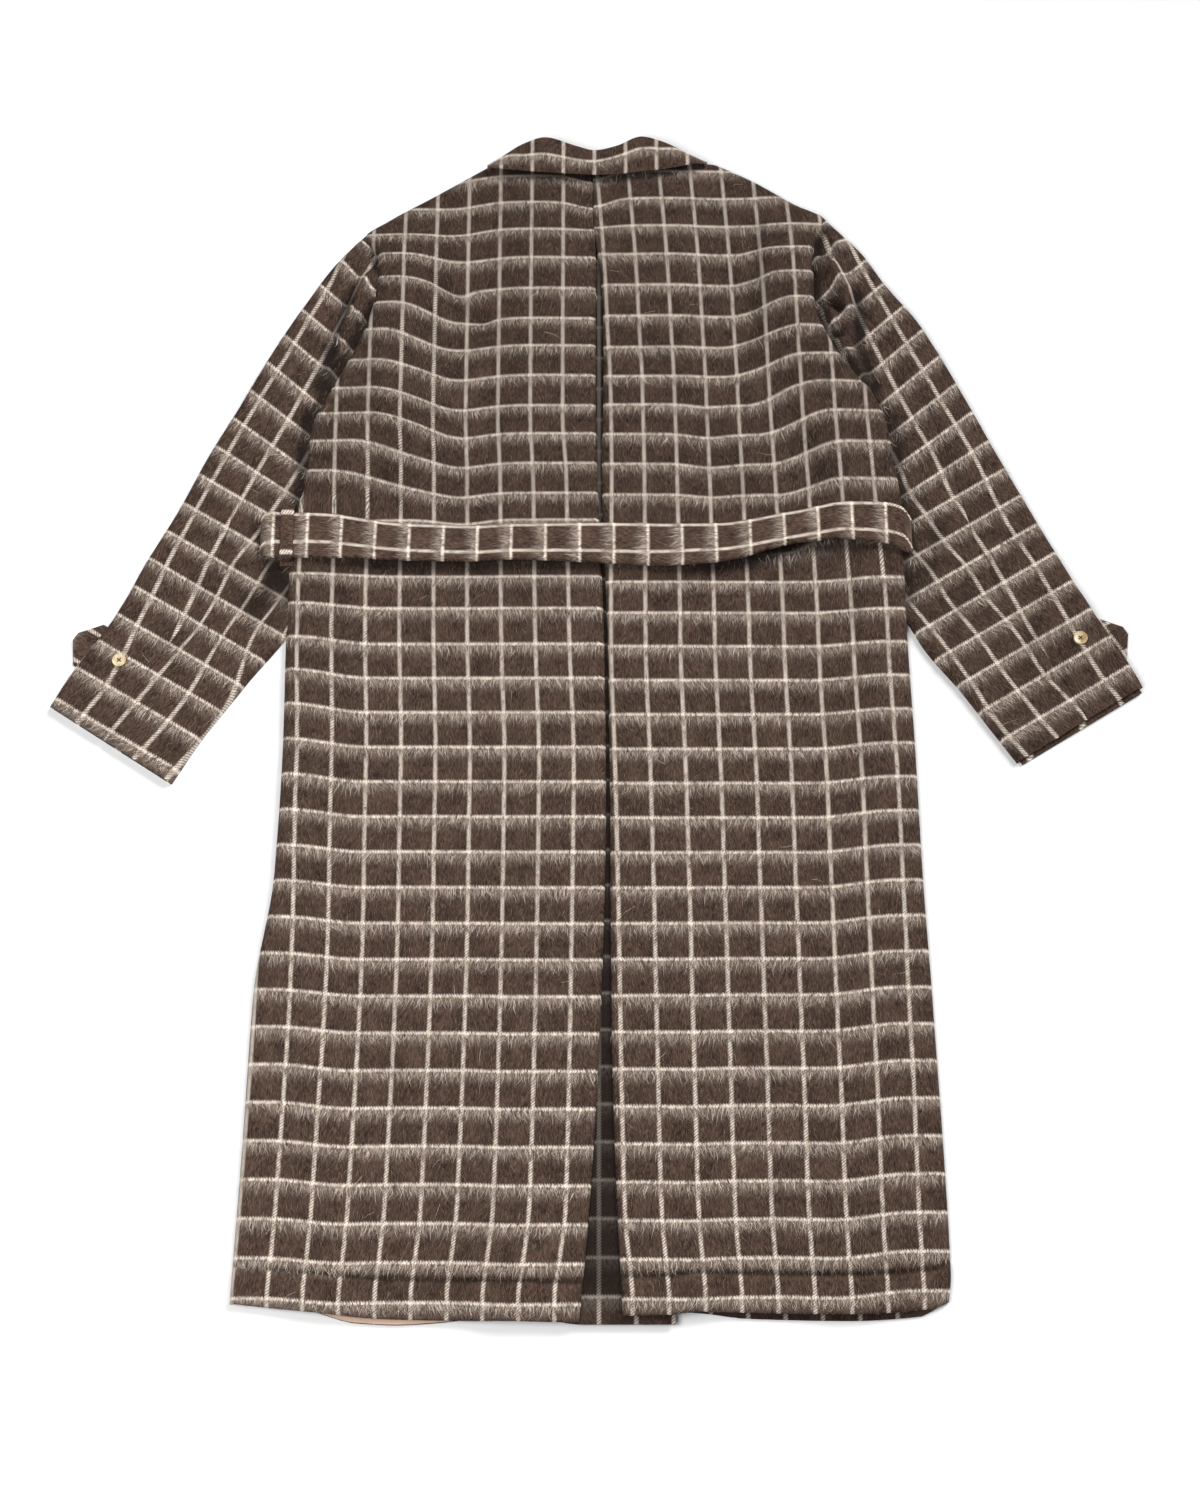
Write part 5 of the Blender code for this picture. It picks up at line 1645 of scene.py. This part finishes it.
def make_fibres(name, density, fringe):
    """The even nap of a panel, or the fringe of its brushed lines."""
    panel = panels[name]
    points, places, down, up = scatter(panel, density)
    above = ((places[:, 1] % 1) - 0.5) * CHECK_ALONG
    brushed = (above < FRINGE_TOP) & (above > FRINGE_LOW)
    if fringe:
        points, places, down, up = (values[brushed] for values in (points, places, down, up))
        brushed = brushed[brushed]
    count = len(points)
    if count == 0:
        return
    aside = ((places[:, 0] % 1) - 0.5) * CHECK_ACROSS
    woven = np.abs(aside) < WOVEN_HALF
    speck = chance.random(count) < SPECK_SHARE
    pale = np.where(speck, SPECK_PALE, BROWN_PALE * chance.random(count) ** BROWN_FADE)
    pale = np.where(woven, chance.uniform(*WOVEN_PALE, count), pale)
    pale = np.where(brushed, chance.uniform(*BRUSHED_PALE, count), pale)
    long = chance.triangular(*BRUSHED_LENGTH, count)
    lengths = np.where(brushed, long, chance.uniform(*NAP_LENGTH, count))
    lengths = np.where(woven & ~brushed, chance.uniform(*WOVEN_LENGTH, count), lengths)[:, None]
    stray = chance.random(count) < (0 if fringe else STRAY_SHARE)
    pale = np.where(stray, STRAY_PALE, pale)
    lengths = np.where(stray[:, None], chance.uniform(*STRAY_LENGTH, (count, 1)), lengths)
    sway = sum(size * np.sin(a * places[:, 0] + b * places[:, 1]) for size, a, b in SWAYS)
    lean = sway + chance.normal(0, np.where(stray, STRAY_SPREAD, LEAN_SPREAD), count)
    bend = lean + chance.normal(0, BEND_SPREAD, count)
    sideways = np.cross(up, down)
    ways = np.cos(lean)[:, None] * down + np.sin(lean)[:, None] * sideways
    bent_ways = np.cos(bend)[:, None] * down + np.sin(bend)[:, None] * sideways
    face = panel["face"]
    outline = np.concatenate([face[0, :-1], face[:-1, -1], face[-1, :0:-1], face[:0:-1, 0]])[:, :2]
    reaching_out = ~inside_outline(outline, (points + lengths * bent_ways)[:, :2])
    lengths = np.where(reaching_out[:, None], SHORT_AT_EDGE * lengths, lengths)
    half = FRINGE_HALF_WIDTH if fringe else NAP_HALF_WIDTH
    thinner = np.where(stray, STRAY_THIN, 1.0)[:, None]
    widths = half * chance.uniform(*WIDTH_SHARES, (count, 1)) * thinner
    kind = "fringe" if fringe else "nap"
    piece = ribbons(kind + name[len("cloth"):], points, ways, bent_ways, up, lengths, widths, pale)
    naps.setdefault(name, []).append(piece)


nap_fibre = nap_finish()
napped = ["cloth_back_", "cloth_top_sleeve_", "cloth_under_sleeve_", "cloth_cuff_strap_"]
napped = [name + side for name in napped for side in SIDES]
for panel_name in napped + ["cloth_collar_fall", "cloth_belt", "cloth_belt_loop"]:
    make_fibres(panel_name, NAP_DENSITY, False)
    make_fibres(panel_name, FRINGE_DENSITY, True)

# %% [markdown]
# ## Handing the pieces over
# Every piece rides on the coat, and each cloth takes the place of its plain solid. The fibres go with
# the sheet that they grow from.

# %% Join the lesson's pieces to the model
def declare(name):
    """Joins one sheet and its fibres to the coat, and hides the plain solid that it takes the place of."""
    sheet = panels["cloth_" + name]["piece"]
    fibres = naps.get("cloth_" + name, [])
    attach(sheet, "root")
    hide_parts("lining_left" if name == "lining" else name)
    for piece in fibres:
        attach(piece, "root")


for side in SIDES:
    declare("back_" + side)
    declare("front_" + side)
    declare("cuff_strap_" + side)
    declare("lower_sleeve_" + side)
    declare("top_sleeve_" + side)
    declare("under_sleeve_" + side)
    declare("collar_end_" + side)
    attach(buttons[side], "root")
    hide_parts("cuff_button_" + side)
    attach(threads[side], "root")
declare("pleat_underlay")
declare("lining")
declare("collar_stand")
declare("collar_fall")
declare("belt")
declare("belt_loop")
print("sheets joined to the model:", len(panels))
